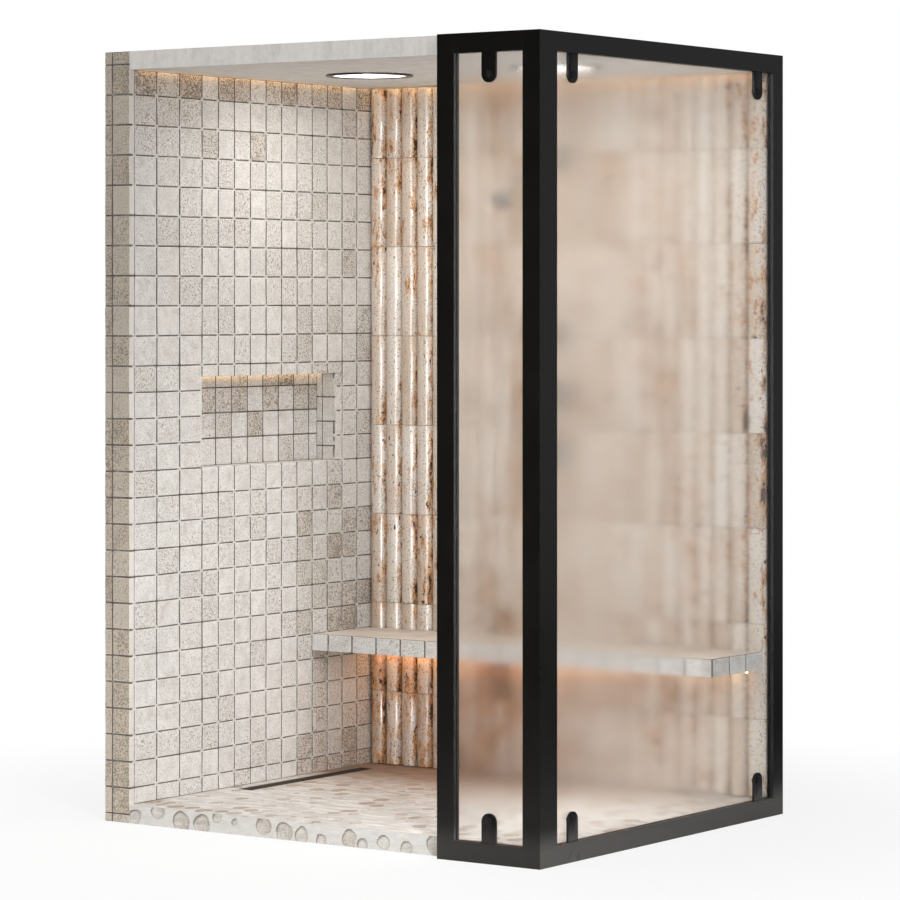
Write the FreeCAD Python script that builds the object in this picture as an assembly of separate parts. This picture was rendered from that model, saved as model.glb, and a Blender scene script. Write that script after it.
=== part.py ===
import FreeCAD, Part
import math
import os
from FreeCAD import Vector

# Overall size of the shower cabin in millimetres, origin at the middle of its footprint
overall_width = 1660.0
overall_depth = 1390.0
overall_height = 2400.0

# Walls and slabs
left_wall_thickness = 102.0
back_core_thickness = 67.0
slab_thickness = 57.0
wall_setback = 42.0
cut_overrun = 2.0

# Tumbled stone tiles on mesh-backed sheets, and single ones round the bench
tile_thickness = 10.0
tile_joint = 4.0
lowest_row_top = 26.0
lower_row_pitch = 82.0
lower_row_count = 17
upper_row_pitch = 94.0
wide_column_widths = (110.0, 113.0, 126.0)
narrow_column_pitch = 83.0
end_column_width = 33.0
rows_per_sheet = 3
columns_per_sheet = 3

# Niche in the left wall
niche_width = 708.0
niche_height = 290.0
niche_depth = 78.0
niche_rear_margin = 214.0
rows_under_niche_count = 13
niche_row_offset = 5.0

# Half-round travertine mouldings on the back wall
flute_pitch = 64.0
flute_rise = 22.0
flute_base = 10.0
flute_joint = 1.0
flute_end_gap = 3.0
flutes_before_fixture_count = 12

# Welded-look window frames of rebated hollow bar
bar_depth = 30.0
stile_width = 60.0
rail_height = 58.0
front_frame_width = 360.0
bar_wall = 2.5
end_cap_thickness = 2.0
end_cap_plug = 12.0
cap_fit = 0.2
cleat_length = 45.0

# Glass panes and their seals
glass_thickness = 8.0
glass_setback = 12.0
glazing_bite = 12.0
glass_edge_gap = 2.0
gasket_lip = 1.0

# Round-ended clips that hold the panes at their ends
clip_width = 50.0
clip_reach = 88.0
clip_thickness = 8.0
clip_tongue = 11.0
clip_fit = 0.2
clip_pad_length = 40.0
clip_pad_margin = 3.0
clip_inset_from_stile = 89.0
bolt_head_radius = 11.0
bolt_head_height = 2.5
bolt_shank_width = 8.0
glass_hole_radius = 7.0
backing_nut_width = 19.0
backing_nut_height = 6.0

# Bench along the back wall
bench_depth = 312.0
bench_top_height = 519.0
bench_thickness = 55.0
bench_top_thickness = 10.0
bench_tile_pitch = 98.0
bench_end_tile_count = 3
arm_bar_thickness = 8.0
arm_bar_height = 36.0
arm_bar_embedment = 40.0
arm_bar_setback = 46.0
arm_bar_clearance = 1.0
flutes_before_arms_count = 3
flutes_between_arms_count = 6

# Light fittings: aluminium channel, light tape and snap-in cover
led_width = 16.0
led_height = 12.0
led_wall = 1.5
led_tape_width = 10.0
led_tape_thickness = 1.5
led_cover_thickness = 2.0
led_fit = 0.1
cove_width = 20.0
cove_depth = 30.0
cove_front_return = 40.0
bench_led_right_setback = 45.0
bench_led_wall_gap = 12.0

# Two round lights let into the ceiling
first_downlight_x = -279.0
downlight_spacing = 707.0
downlight_y = -5.0
downlight_bezel_radius = 139.0
downlight_aperture_radius = 117.5
downlight_bezel_height = 6.0
downlight_lens_thickness = 3.0
downlight_lens_gap = 0.3
downlight_box_width = 150.0
downlight_box_height = 42.0
downlight_box_gap = 2.0
spring_width = 16.0
spring_height = 24.0
spring_thickness = 1.5
spring_gap = 0.1

# Linear drain in the floor beside the left wall
drain_wall_distance = 43.0
drain_width = 60.0
drain_length = 665.0
drain_rear_margin = 133.0
drain_depth = 40.0
drain_sheet = 1.5
drain_ledge = 6.0
drain_grate_thickness = 8.0
drain_grate_gap = 0.8
drain_slot_width = 7.0
drain_slot_margin = 9.0
drain_slot_count = 24
outlet_radius = 20.2
outlet_wall = 1.8
strainer_width = 44.0
strainer_thickness = 2.0
strainer_height = 3.0
strainer_hole = 8.0
strainer_hole_pitch = 13.0
strainer_holes_across = 3
strainer_stem_width = 4.0

# Concealed shower set on the back wall
stop_height = 1519.0
mixer_height = 1316.0
flow_height = 1127.0
arm_drop = 253.0
chase_width = 220.0
chase_depth = 45.0
chase_rise = 60.0
valve_block_width = 44.0
valve_block_height = 50.0
valve_block_depth = 38.0
valve_neck_width = 34.0
valve_neck_setback = 2.0
notch_gap = 1.0
rosette_gap = 0.3
rosette_thickness = 8.0
stop_rosette_width = 72.0
mixer_rosette_width = 98.0
flow_rosette_width = 85.0
arm_rosette_width = 72.0
handle_radius = 14.0
handle_clearance = 0.05
handle_insertion = 36.0
handle_end_gap = 1.0
stop_handle_length = 45.0
mixer_handle_length = 55.0
flow_handle_length = 50.0
lever_width = 9.0
lever_reach = 46.0
lever_thickness = 12.0
lever_end_setback = 6.0

# Pipes in the chase
pipe_radius = 7.5
pipe_bore_radius = 6.5
supply_centres = 150.0
supply_pipe_bottom = 30.0
pipe_wall_distance = 22.0
elbow_size = 24.0
driver_gap = 10.0
driver_width = 60.0
driver_depth = 30.0
driver_height = 220.0

# Shower arm and head
arm_radius = 11.0
arm_stub = 107.0
arm_bend_radius = 45.0
arm_bend_degrees = 35.0
arm_slope_length = 187.0
ball_radius = 10.0
ball_neck_radius = 6.0
ball_neck_length = 16.0
ball_clearance = 0.05
ball_zone_degrees = 35.0
nut_radius = 16.0
nut_height = 18.0
nut_lip = 2.0
nut_mouth_radius = 9.6
head_radius = 34.0
head_height = 24.0
spray_plate_radius = 30.0
spray_plate_thickness = 3.0

# Places worked out from the sizes above
x_left = -overall_width / 2
x_right = overall_width / 2
y_front = -overall_depth / 2
y_back = overall_depth / 2
front_plane_y = y_front + wall_setback
wall_face_x = x_left + left_wall_thickness
tile_seat_x = wall_face_x - tile_thickness
side_frame_x = x_right - bar_depth
core_face_y = y_back - back_core_thickness
groove_y = core_face_y - flute_base
crest_y = groove_y - flute_rise
floor_z = slab_thickness
ceiling_z = overall_height - slab_thickness
glass_inner_x = x_right - glass_setback - glass_thickness
flute_count = int((glass_inner_x - wall_face_x) / flute_pitch)
flutes_end_x = wall_face_x + flute_count * flute_pitch
fixture_x = wall_face_x + flutes_before_fixture_count * flute_pitch
arm_height = ceiling_z - arm_drop
chase_top = arm_height + chase_rise
side_front_y = y_front + bar_depth
chase_face_y = y_back - chase_depth
pipe_y = y_back - pipe_wall_distance
bench_front_y = crest_y - bench_depth
bench_bottom = bench_top_height - bench_thickness
niche_front_y = core_face_y - niche_rear_margin - niche_width
drain_x = wall_face_x + drain_wall_distance
drain_front_y = core_face_y - drain_rear_margin - drain_length
drain_centre_x = drain_x + drain_width / 2
drain_centre_y = drain_front_y + drain_length / 2
drain_floor_z = floor_z - drain_depth
drain_ledge_z = floor_z - drain_grate_thickness

UP = Vector(0, 0, 1)
DOWN = Vector(0, 0, -1)
BACK = Vector(0, 1, 0)


def box(x0, x1, y0, y1, z0, z1):
    """A block between two corners."""
    return Part.makeBox(x1 - x0, y1 - y0, z1 - z0, Vector(x0, y0, z0))


def rod(radius, start, end):
    """A round bar from one point to another."""
    run = end - start
    return Part.makeCylinder(radius, run.Length, start, run)


def tube(radius, bore, start, end):
    """A straight pipe from one point to another."""
    return rod(radius, start, end).cut(rod(bore, start, end))


def face_of(points):
    """A flat face inside a closed outline of straight edges."""
    return Part.Face(Part.makePolygon(points + points[:1]))


def turned(profile, centre, axis):
    """A solid turned from (radius, height) points, with its height along axis from centre."""
    outline = face_of([Vector(radius, 0, height) for radius, height in profile])
    solid = outline.revolve(Vector(0, 0, 0), UP, 360)
    solid.Placement = FreeCAD.Placement(centre, FreeCAD.Rotation(UP, axis))
    return solid


def save(name, solids):
    """Write one named piece, or a group of like pieces, to its own file."""
    group = solids if isinstance(solids, list) else [solids]
    shape = group[0] if len(group) == 1 else Part.makeCompound(group)
    shape.exportStep("parts/" + name + ".step")


def joint_heights():
    """Heights of the horizontal tile joints, from the ground up."""
    heights = [lowest_row_top + lower_row_pitch * row for row in range(lower_row_count + 1)]
    while heights[-1] + upper_row_pitch < overall_height:
        heights.append(heights[-1] + upper_row_pitch)
    return heights


def column_joints():
    """Places of the vertical tile joints on the left wall, laid out both ways from the niche."""
    first = front_plane_y + tile_thickness
    last = core_face_y + tile_joint / 2
    places = [niche_front_y]
    number = 1
    while places[0] - wide_column_widths[-number] > first + tile_thickness:
        places.insert(0, places[0] - wide_column_widths[-number])
        number = number % len(wide_column_widths) + 1
    places.insert(0, first)
    while places[-1] + narrow_column_pitch < last - narrow_column_pitch / 2:
        places.append(places[-1] + narrow_column_pitch)
    return places + [last]


def sheet_joints(joints, step):
    """The joints between sheets of several tiles, with the two outer ones kept."""
    chosen = joints[::step]
    return chosen if chosen[-1] == joints[-1] else chosen + joints[-1:]


def clipped(joints, low, high):
    """The joints between two limits, with the limits themselves at the ends."""
    half = tile_joint / 2
    inner = [place for place in joints if low + tile_thickness < place < high - tile_thickness]
    return [low - half] + inner + [high + half]


def left_wall():
    """Core with a niche pocket and a shallow seat for the tiles, and the sheets bonded on it."""
    rows = joint_heights()
    columns = column_joints()
    niche_y = niche_front_y
    niche_z = rows[rows_under_niche_count]
    niche_back_x = wall_face_x - niche_depth
    end_seat_y = front_plane_y + tile_thickness
    half = tile_joint / 2

    core = box(x_left, tile_seat_x, end_seat_y, y_back, 0, overall_height)
    core = core.fuse(box(tile_seat_x, wall_face_x, end_seat_y, core_face_y, 0, floor_z))
    core = core.fuse(box(tile_seat_x, wall_face_x, end_seat_y, core_face_y, ceiling_z, overall_height))
    pocket = box(
        niche_back_x - tile_thickness, tile_seat_x + cut_overrun,
        niche_y - tile_thickness, niche_y + niche_width + tile_thickness,
        niche_z - tile_thickness, niche_z + niche_height + tile_thickness)
    light_slot = box(
        niche_back_x - tile_thickness, niche_back_x + led_width,
        niche_y - tile_thickness, niche_y + niche_width + tile_thickness,
        niche_z, niche_z + niche_height + led_height)
    save("left_wall_core", core.cut(pocket.fuse(light_slot)).removeSplitter())

    opening = box(
        tile_seat_x - cut_overrun, wall_face_x + cut_overrun,
        niche_y, niche_y + niche_width, niche_z, niche_z + niche_height)
    sheet_rows = sheet_joints(rows, rows_per_sheet)
    wall_rows = clipped(sheet_rows, floor_z, ceiling_z)
    wall_columns = sheet_joints(columns, columns_per_sheet)
    sheets = []
    for y0, y1 in zip(wall_columns, wall_columns[1:]):
        for z0, z1 in zip(wall_rows, wall_rows[1:]):
            sheet = box(tile_seat_x, wall_face_x, y0 + half, y1 - half, z0 + half, z1 - half)
            sheets += sheet.cut(opening).Solids
    save("left_wall_tile_sheets", sheets)

    end_rows = clipped(sheet_rows, 0, overall_height)
    end_columns = [x_left - half, x_left + end_column_width, wall_face_x + half]
    ends = []
    for x0, x1 in zip(end_columns, end_columns[1:]):
        for z0, z1 in zip(end_rows, end_rows[1:]):
            ends.append(box(x0 + half, x1 - half, front_plane_y, end_seat_y, z0 + half, z1 - half))
    save("left_wall_end_tile_sheets", ends)
    niche_lining(niche_y, niche_z, niche_back_x)


def niche_lining(niche_y, niche_z, back_x):
    """Tiles on the niche's back, and stone strips on its reveals with a slot for the light line."""
    end_y = niche_y + niche_width
    top_z = niche_z + niche_height
    seat_x = back_x - tile_thickness
    half = tile_joint / 2
    first_row = niche_z + niche_row_offset
    rows = clipped([first_row, first_row + lower_row_pitch * rows_per_sheet], niche_z, top_z)
    sheet_width = narrow_column_pitch * columns_per_sheet
    sheet_count = math.ceil(niche_width / sheet_width)
    columns = clipped([niche_y + sheet_width * number for number in range(sheet_count)], niche_y, end_y)
    backs = []
    for y0, y1 in zip(columns, columns[1:]):
        for z0, z1 in zip(rows, rows[1:]):
            backs.append(box(seat_x, back_x, y0 + half, y1 - half, z0 + half, z1 - half))
    save("niche_back_tile_sheets", backs)

    light_x = back_x + led_width
    low_y = niche_y - tile_thickness
    high_y = end_y + tile_thickness
    sill = box(seat_x, tile_seat_x, low_y, high_y, niche_z - tile_thickness, niche_z)
    head = box(light_x, tile_seat_x, low_y, high_y, top_z, top_z + tile_thickness)
    front_cheek = box(seat_x, tile_seat_x, low_y, niche_y, niche_z, top_z)
    rear_cheek = box(seat_x, tile_seat_x, end_y, high_y, niche_z, top_z)
    save("niche_reveal_strips", [sill, head, front_cheek, rear_cheek])


def light_strip(length):
    """Channel, tape and cover of a light line that runs along X from the origin and shines down."""
    half = led_width / 2
    channel = box(0, length, -half, half, -led_height, 0)
    channel = channel.cut(box(0, length, led_wall - half, half - led_wall, -led_height, -led_wall))
    tape_half = led_tape_width / 2
    tape = box(0, length, -tape_half, tape_half, -led_wall - led_tape_thickness, -led_wall)
    cover_half = half - led_wall - led_fit
    cover = box(0, length, -cover_half, cover_half, -led_height, led_cover_thickness - led_height)
    return channel, tape, cover


def light_lines():
    """Warm light lines in the ceiling coves, the niche and under the bench."""
    rows = joint_heights()
    niche_y = niche_front_y
    niche_top = rows[rows_under_niche_count] + niche_height
    half = led_width / 2
    cove_top = ceiling_z + cove_depth
    along_y = FreeCAD.Rotation(UP, 90)
    along_x = FreeCAD.Rotation()
    side_start = Vector(wall_face_x + cove_width / 2, front_plane_y + cove_front_return, cove_top)
    rear_start = Vector(wall_face_x + cove_width, crest_y - half, cove_top)
    niche_start = Vector(wall_face_x - niche_depth + half, niche_y, niche_top + led_height)
    bench_start = Vector(
        wall_face_x + bench_led_right_setback, crest_y - bench_led_wall_gap - half, bench_bottom)
    lines = {
        "side_cove": (side_start, along_y, crest_y - led_width - side_start.y),
        "rear_cove": (rear_start, along_x, side_frame_x - cove_width - rear_start.x),
        "niche": (niche_start, along_y, niche_width),
        "bench": (bench_start, along_x, flutes_end_x - bench_led_right_setback - bench_start.x),
    }
    tapes = []
    covers = []
    for name, (start, turn, length) in lines.items():
        pieces = light_strip(length)
        for piece in pieces:
            piece.Placement = FreeCAD.Placement(start, turn)
        save(name + "_light_channel", pieces[0])
        tapes.append(pieces[1])
        covers.append(pieces[2])
    save("light_tapes", tapes)
    save("light_covers", covers)


def downlight_places():
    """Where the two ceiling lights stand on the ceiling's underside."""
    places = (first_downlight_x, first_downlight_x + downlight_spacing)
    return [Vector(x, downlight_y, ceiling_z) for x in places]


def ceiling():
    """Ceiling slab with its light coves and lamp holes, and the two round lights."""
    slab = box(wall_face_x, side_frame_x, front_plane_y, core_face_y, ceiling_z, overall_height)
    cove_start = front_plane_y + cove_front_return
    cove_top = ceiling_z + cove_depth
    low = ceiling_z - cut_overrun
    side_cove = box(
        wall_face_x - cut_overrun, wall_face_x + cove_width, cove_start, core_face_y + cut_overrun,
        low, cove_top)
    rear_cove = box(
        wall_face_x - cut_overrun, side_frame_x - cove_width, crest_y - cove_width,
        core_face_y + cut_overrun, low, cove_top)
    slab = slab.cut(side_cove).cut(rear_cove)
    boxes = []
    bezels = []
    lenses = []
    springs = []
    for place in downlight_places():
        half = downlight_box_width / 2
        hollow = half + downlight_box_gap
        slab = slab.cut(box(
            place.x - hollow, place.x + hollow, place.y - hollow, place.y + hollow,
            place.z - cut_overrun, place.z + downlight_box_height + downlight_box_gap))
        boxes.append(box(
            place.x - half, place.x + half, place.y - half, place.y + half,
            place.z, place.z + downlight_box_height))
        bezels.append(tube(
            downlight_bezel_radius, downlight_aperture_radius,
            place - UP * downlight_bezel_height, place))
        lenses.append(rod(
            downlight_aperture_radius - downlight_lens_gap,
            place - UP * downlight_lens_thickness, place))
        for side in (-1, 1):
            near = half + spring_gap
            far = near + spring_thickness
            xs = sorted((place.x + side * near, place.x + side * far))
            springs.append(box(
                xs[0], xs[1], place.y - spring_width / 2, place.y + spring_width / 2,
                place.z, place.z + spring_height))
    save("ceiling_slab", slab)
    save("downlight_back_boxes", boxes)
    save("downlight_bezels", bezels)
    save("downlight_lenses", lenses)
    save("downlight_springs", springs)


def floor_and_drain():
    """Floor slab, the drain channel cast into it, and the grate with its strainer."""
    inset = drain_ledge
    left = drain_x
    right = drain_x + drain_width
    near = drain_front_y
    far = drain_front_y + drain_length
    shelf_z = drain_ledge_z - drain_sheet
    upper = box(left, right, near, far, shelf_z, floor_z)
    lower = box(left + inset, right - inset, near + inset, far - inset, drain_floor_z, shelf_z)
    body = upper.fuse(lower).removeSplitter()
    centre = Vector(drain_centre_x, drain_centre_y, 0)
    outlet_top = Vector(drain_centre_x, drain_centre_y, drain_floor_z)
    socket = rod(outlet_radius + outlet_wall, centre, outlet_top)

    slab = box(wall_face_x, side_frame_x, front_plane_y, core_face_y, 0, floor_z)
    save("floor_slab", slab.cut(body.fuse(socket)))

    seat = box(
        left + drain_sheet, right - drain_sheet, near + drain_sheet, far - drain_sheet,
        drain_ledge_z, floor_z)
    trough = box(
        left + inset + drain_sheet, right - inset - drain_sheet,
        near + inset + drain_sheet, far - inset - drain_sheet,
        drain_floor_z + drain_sheet, drain_ledge_z)
    bore = rod(outlet_radius, centre, outlet_top + UP * drain_sheet)
    save("drain_channel", body.fuse(socket).cut(seat).cut(trough).cut(bore).removeSplitter())

    gap = drain_sheet + drain_grate_gap
    grate = box(left + gap, right - gap, near + gap, far - gap, drain_ledge_z, floor_z)
    first = near + gap + drain_slot_margin
    span = far - gap - drain_slot_margin - drain_slot_width - first
    for number in range(drain_slot_count):
        y = first + span * number / (drain_slot_count - 1)
        slot = box(
            left + gap + drain_slot_margin, right - gap - drain_slot_margin,
            y, y + drain_slot_width, drain_ledge_z, floor_z)
        grate = grate.cut(slot)
    save("drain_grate", grate)

    half = strainer_width / 2
    base_z = drain_floor_z + drain_sheet + strainer_height
    plate = box(
        drain_centre_x - half, drain_centre_x + half, drain_centre_y - half, drain_centre_y + half,
        base_z, base_z + strainer_thickness)
    hole_half = strainer_hole / 2
    middle = (strainer_holes_across - 1) / 2
    for column in range(strainer_holes_across):
        for row in range(strainer_holes_across):
            x = drain_centre_x + strainer_hole_pitch * (column - middle)
            y = drain_centre_y + strainer_hole_pitch * (row - middle)
            if column != middle or row != middle:
                plate = plate.cut(box(
                    x - hole_half, x + hole_half, y - hole_half, y + hole_half,
                    base_z, base_z + strainer_thickness))
    stem_half = strainer_stem_width / 2
    stem_x = drain_x + gap + drain_slot_margin / 2 + drain_ledge
    stems = [
        box(
            x - stem_half, x + stem_half, drain_centre_y - stem_half, drain_centre_y + stem_half,
            base_z + strainer_thickness, drain_ledge_z)
        for x in (stem_x, 2 * drain_centre_x - stem_x)]
    save("drain_strainer", plate.multiFuse(stems).removeSplitter())


def flute_profile(width, x):
    """Plan of one moulding: a flat back, two short sides and a round front."""
    half = width / 2
    left = Vector(x - half, groove_y, 0)
    right = Vector(x + half, groove_y, 0)
    back_left = Vector(x - half, core_face_y, 0)
    back_right = Vector(x + half, core_face_y, 0)
    front = Part.Arc(left, Vector(x, crest_y, 0), right).toShape()
    edges = [front, Part.makeLine(right, back_right), Part.makeLine(back_right, back_left),
             Part.makeLine(back_left, left)]
    return Part.Face(Part.Wire(edges))


def bench_arm_places():
    """X of each steel arm, centred on a groove between two mouldings."""
    numbers = range(flutes_before_arms_count, flute_count, flutes_between_arms_count)
    return [wall_face_x + flute_pitch * number for number in numbers]


def arm_bar_heights():
    """Lower and upper edge of the steel arms inside the bench."""
    core_top = bench_top_height - bench_top_thickness
    middle = (core_top + bench_bottom) / 2
    return middle - arm_bar_height / 2, middle + arm_bar_height / 2


def valve_heights():
    """Heights of the three controls."""
    return [stop_height, mixer_height, flow_height]


def square_bar(half_width, start_y, end_y, height):
    """A square bar through the wall on the shower set's line, at a given height."""
    return box(
        fixture_x - half_width, fixture_x + half_width, start_y, end_y,
        height - half_width, height + half_width)


def back_wall():
    """Core with its service chase, and the fluted travertine bonded to its face."""
    core = box(tile_seat_x, side_frame_x, core_face_y, y_back, 0, overall_height)
    half = chase_width / 2
    chase = box(
        fixture_x - half, fixture_x + half, chase_face_y, y_back + cut_overrun,
        0 - cut_overrun, chase_top)
    core = core.cut(chase)
    necks = [(height, valve_neck_width / 2) for height in valve_heights()]
    necks.append((arm_height, arm_radius))
    passages = [
        square_bar(neck + notch_gap, crest_y - cut_overrun, chase_face_y + cut_overrun, height)
        for height, neck in necks]
    low, high = arm_bar_heights()
    bar_half = arm_bar_thickness / 2
    slot_half = bar_half + arm_bar_clearance
    for x in bench_arm_places():
        core = core.cut(box(
            x - bar_half, x + bar_half, core_face_y, core_face_y + arm_bar_embedment, low, high))
        passages.append(box(
            x - slot_half, x + slot_half, crest_y - cut_overrun, core_face_y,
            low - arm_bar_clearance, high + arm_bar_clearance))
    for passage in passages:
        core = core.cut(passage)
    save("back_wall_core", core)

    mouldings = []
    for number in range(flute_count):
        x = wall_face_x + flute_pitch * (number + 0.5)
        moulding = flute_profile(flute_pitch - flute_joint, x)
        moulding.translate(UP * (floor_z + flute_end_gap))
        moulding = moulding.extrude(UP * (ceiling_z - floor_z - 2 * flute_end_gap))
        for passage in passages:
            if passage.BoundBox.intersect(moulding.BoundBox):
                moulding = moulding.cut(passage)
        mouldings.append(moulding)
    save("travertine_mouldings", mouldings)


def bench():
    """Bench core on steel arms, its stone top and its tiled edges."""
    edge_y = bench_front_y + tile_thickness
    edge_x = flutes_end_x - tile_thickness
    core_top = bench_top_height - bench_top_thickness
    low, high = arm_bar_heights()
    half = arm_bar_thickness / 2
    core = box(wall_face_x, edge_x, edge_y, crest_y, bench_bottom, core_top)
    arms = []
    for x in bench_arm_places():
        bar = box(
            x - half, x + half, edge_y + arm_bar_setback, core_face_y + arm_bar_embedment, low, high)
        core = core.cut(bar)
        arms.append(bar)
    save("bench_core", core)
    save("bench_arms", arms)
    save("bench_top", box(wall_face_x, edge_x, edge_y, crest_y, core_top, bench_top_height))

    gap = tile_joint / 2
    places = []
    x = flutes_end_x
    while x > wall_face_x:
        places.append(x)
        x -= bench_tile_pitch
    places.append(wall_face_x)
    edge = []
    for x1, x0 in zip(places, places[1:]):
        start = x0 + gap if x0 > wall_face_x else x0
        stop = x1 - gap if x1 < flutes_end_x else x1
        edge.append(box(start, stop, bench_front_y, edge_y, bench_bottom, bench_top_height))
    save("bench_edge_tiles", edge)

    ends = []
    step = (crest_y - edge_y) / bench_end_tile_count
    for number in range(bench_end_tile_count):
        start = edge_y + step * number + gap
        stop = edge_y + step * (number + 1)
        if number < bench_end_tile_count - 1:
            stop -= gap
        ends.append(box(edge_x, flutes_end_x, start, stop, bench_bottom, bench_top_height))
    save("bench_end_tiles", ends)


def bar(length, width):
    """Hollow bar along +Z from the origin, with its glazing groove in the +X edge."""
    groove_in = glass_setback - gasket_lip
    groove_out = glass_setback + glass_thickness + gasket_lip
    solid = box(0, width, 0, bar_depth, 0, length)
    groove = box(width - glazing_bite, width, groove_in, groove_out, 0, length)
    chamber = box(
        bar_wall, width - glazing_bite - bar_wall, bar_wall, bar_depth - bar_wall, 0, length)
    return solid.cut(groove).cut(chamber)


def chamber_plug(width, length):
    """Block that fills the end of a bar's chamber, along +Z from the origin."""
    return box(
        bar_wall + cap_fit, width - glazing_bite - bar_wall - cap_fit,
        bar_wall + cap_fit, bar_depth - bar_wall - cap_fit, 0, length)


def end_cap():
    """Flat cap with a plug that closes a stile's end, its plug along +Z."""
    plate = box(0, stile_width, 0, bar_depth, 0, end_cap_thickness)
    plug = chamber_plug(stile_width, end_cap_plug)
    plug.translate(UP * end_cap_thickness)
    return plate.fuse(plug)


def clip(outward):
    """Clip in frame coordinates: X across it, Z from the rail's edge towards its round end."""
    half = clip_width / 2
    straight = clip_reach - half
    left_foot = Vector(-half, 0, -clip_tongue)
    right_foot = Vector(half, 0, -clip_tongue)
    left_top = Vector(-half, 0, straight)
    right_top = Vector(half, 0, straight)
    round_end = Part.Arc(right_top, Vector(0, 0, clip_reach), left_top).toShape()
    outline = Part.Wire([
        Part.makeLine(left_foot, right_foot), Part.makeLine(right_foot, right_top), round_end,
        Part.makeLine(left_top, left_foot)])
    plate = Part.Face(outline).extrude(BACK * clip_thickness)
    plate.translate(BACK * outward)
    shank_half = bolt_shank_width / 2
    return plate.cut(box(
        -shank_half, shank_half, outward, outward + clip_thickness,
        straight - shank_half, straight + shank_half))


def clip_set():
    """One clip with its pad, square-necked bolt and nut, and the cutters for the pane and the rail."""
    pad_start = glass_setback - gasket_lip
    clip_start = pad_start - clip_thickness
    half = clip_width / 2
    straight = clip_reach - half
    glass_back = glass_setback + glass_thickness
    plate = clip(clip_start)
    pad_half = half - clip_pad_margin
    pad = box(-pad_half, pad_half, pad_start, glass_setback, 0, clip_pad_length)
    seat = Vector(0, clip_start, straight)
    shank_half = bolt_shank_width / 2
    shank = box(
        -shank_half, shank_half, clip_start, glass_back,
        straight - shank_half, straight + shank_half)
    bolt = rod(bolt_head_radius, seat - BACK * bolt_head_height, seat).fuse(shank)
    corner = backing_nut_width / math.sqrt(3)
    corners = [
        Vector(corner * math.cos(math.radians(60 * side)), glass_back,
               straight + corner * math.sin(math.radians(60 * side)))
        for side in range(6)]
    nut = face_of(corners).extrude(BACK * backing_nut_height)
    hole = rod(
        glass_hole_radius, Vector(0, glass_setback, straight), Vector(0, glass_back, straight))
    mortise = box(
        -half - clip_fit, half + clip_fit, clip_start - clip_fit, pad_start,
        -clip_tongue - clip_fit, 0)
    return {"clip": plate, "pad": pad, "bolt": bolt, "nut": nut, "hole": hole, "mortise": mortise}


def placed(shape, place):
    """A copy of a shape carried to its final place."""
    copy = shape.copy()
    copy.Placement = place.multiply(shape.Placement)
    return copy


def window_frame(name, width, start, turn, clip_places):
    """A frame of two stiles and two rails, with its pane, seal and clips.

    Built with X along the frame, Y inwards from its outer face and Z up, then turned into place.
    clip_places are distances along the frame of the clips at its top and bottom.
    """
    place = FreeCAD.Placement(start, turn)
    stile_length = overall_height - 2 * end_cap_thickness
    opening_width = width - 2 * stile_width
    flip = FreeCAD.Rotation(UP, 180)
    near_stile = bar(stile_length, stile_width)
    near_stile.translate(UP * end_cap_thickness)
    far_stile = near_stile.mirror(Vector(width / 2, 0, 0), Vector(1, 0, 0))

    def rail_from(shape):
        """Lay a bar down along the frame with its groove upwards."""
        shape.Placement = FreeCAD.Placement(
            Vector(stile_width + opening_width, 0, 0), FreeCAD.Rotation(Vector(0, -1, 0), 90))
        return shape

    def to_top(shape):
        """Mirror a piece at the bottom of the frame to its top."""
        return shape.mirror(Vector(0, 0, overall_height / 2), UP)

    bottom_rail = rail_from(bar(opening_width, rail_height))
    near_cleat = rail_from(chamber_plug(rail_height, cleat_length))
    far_cleat = near_cleat.copy()
    far_cleat = far_cleat.mirror(Vector(width / 2, 0, 0), Vector(1, 0, 0))
    bottom_cleats = [near_cleat, far_cleat]
    cleats = bottom_cleats + [to_top(cleat) for cleat in bottom_cleats]

    bite = glazing_bite - glass_edge_gap
    glass_back = glass_setback + glass_thickness
    pane = box(
        stile_width - bite, width - stile_width + bite, glass_setback, glass_back,
        rail_height - bite, overall_height - rail_height + bite)
    seal = box(
        stile_width - glazing_bite, width - stile_width + glazing_bite,
        glass_setback - gasket_lip, glass_back + gasket_lip,
        rail_height - glazing_bite, overall_height - rail_height + glazing_bite)
    daylight = box(
        stile_width, width - stile_width, 0, bar_depth, rail_height, overall_height - rail_height)
    seal = seal.cut(daylight).cut(pane)

    hardware = {"clip": [], "pad": [], "bolt": [], "nut": []}
    for distance in clip_places:
        for at_top in (False, True):
            pieces = clip_set()
            for piece in pieces.values():
                piece.translate(Vector(distance, 0, rail_height))
            if at_top:
                pieces = {key: to_top(piece) for key, piece in pieces.items()}
            else:
                bottom_rail = bottom_rail.cut(pieces["mortise"])
            pane = pane.cut(pieces["hole"])
            for key in hardware:
                hardware[key].append(pieces[key])
    top_rail = to_top(bottom_rail)

    cap = end_cap()
    far_cap = cap.mirror(Vector(width / 2, 0, 0), Vector(1, 0, 0))
    caps = [cap, far_cap, to_top(cap), to_top(far_cap)]
    solids = {
        "near_stile": near_stile, "far_stile": far_stile, "bottom_rail": bottom_rail,
        "top_rail": top_rail, "glass": pane, "glazing_seal": seal}
    for key, solid in solids.items():
        save(name + "_" + key, placed(solid, place))
    loose = {"cleat": cleats, "cap": caps, **hardware}
    return {key: [placed(solid, place) for solid in group] for key, group in loose.items()}


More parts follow.
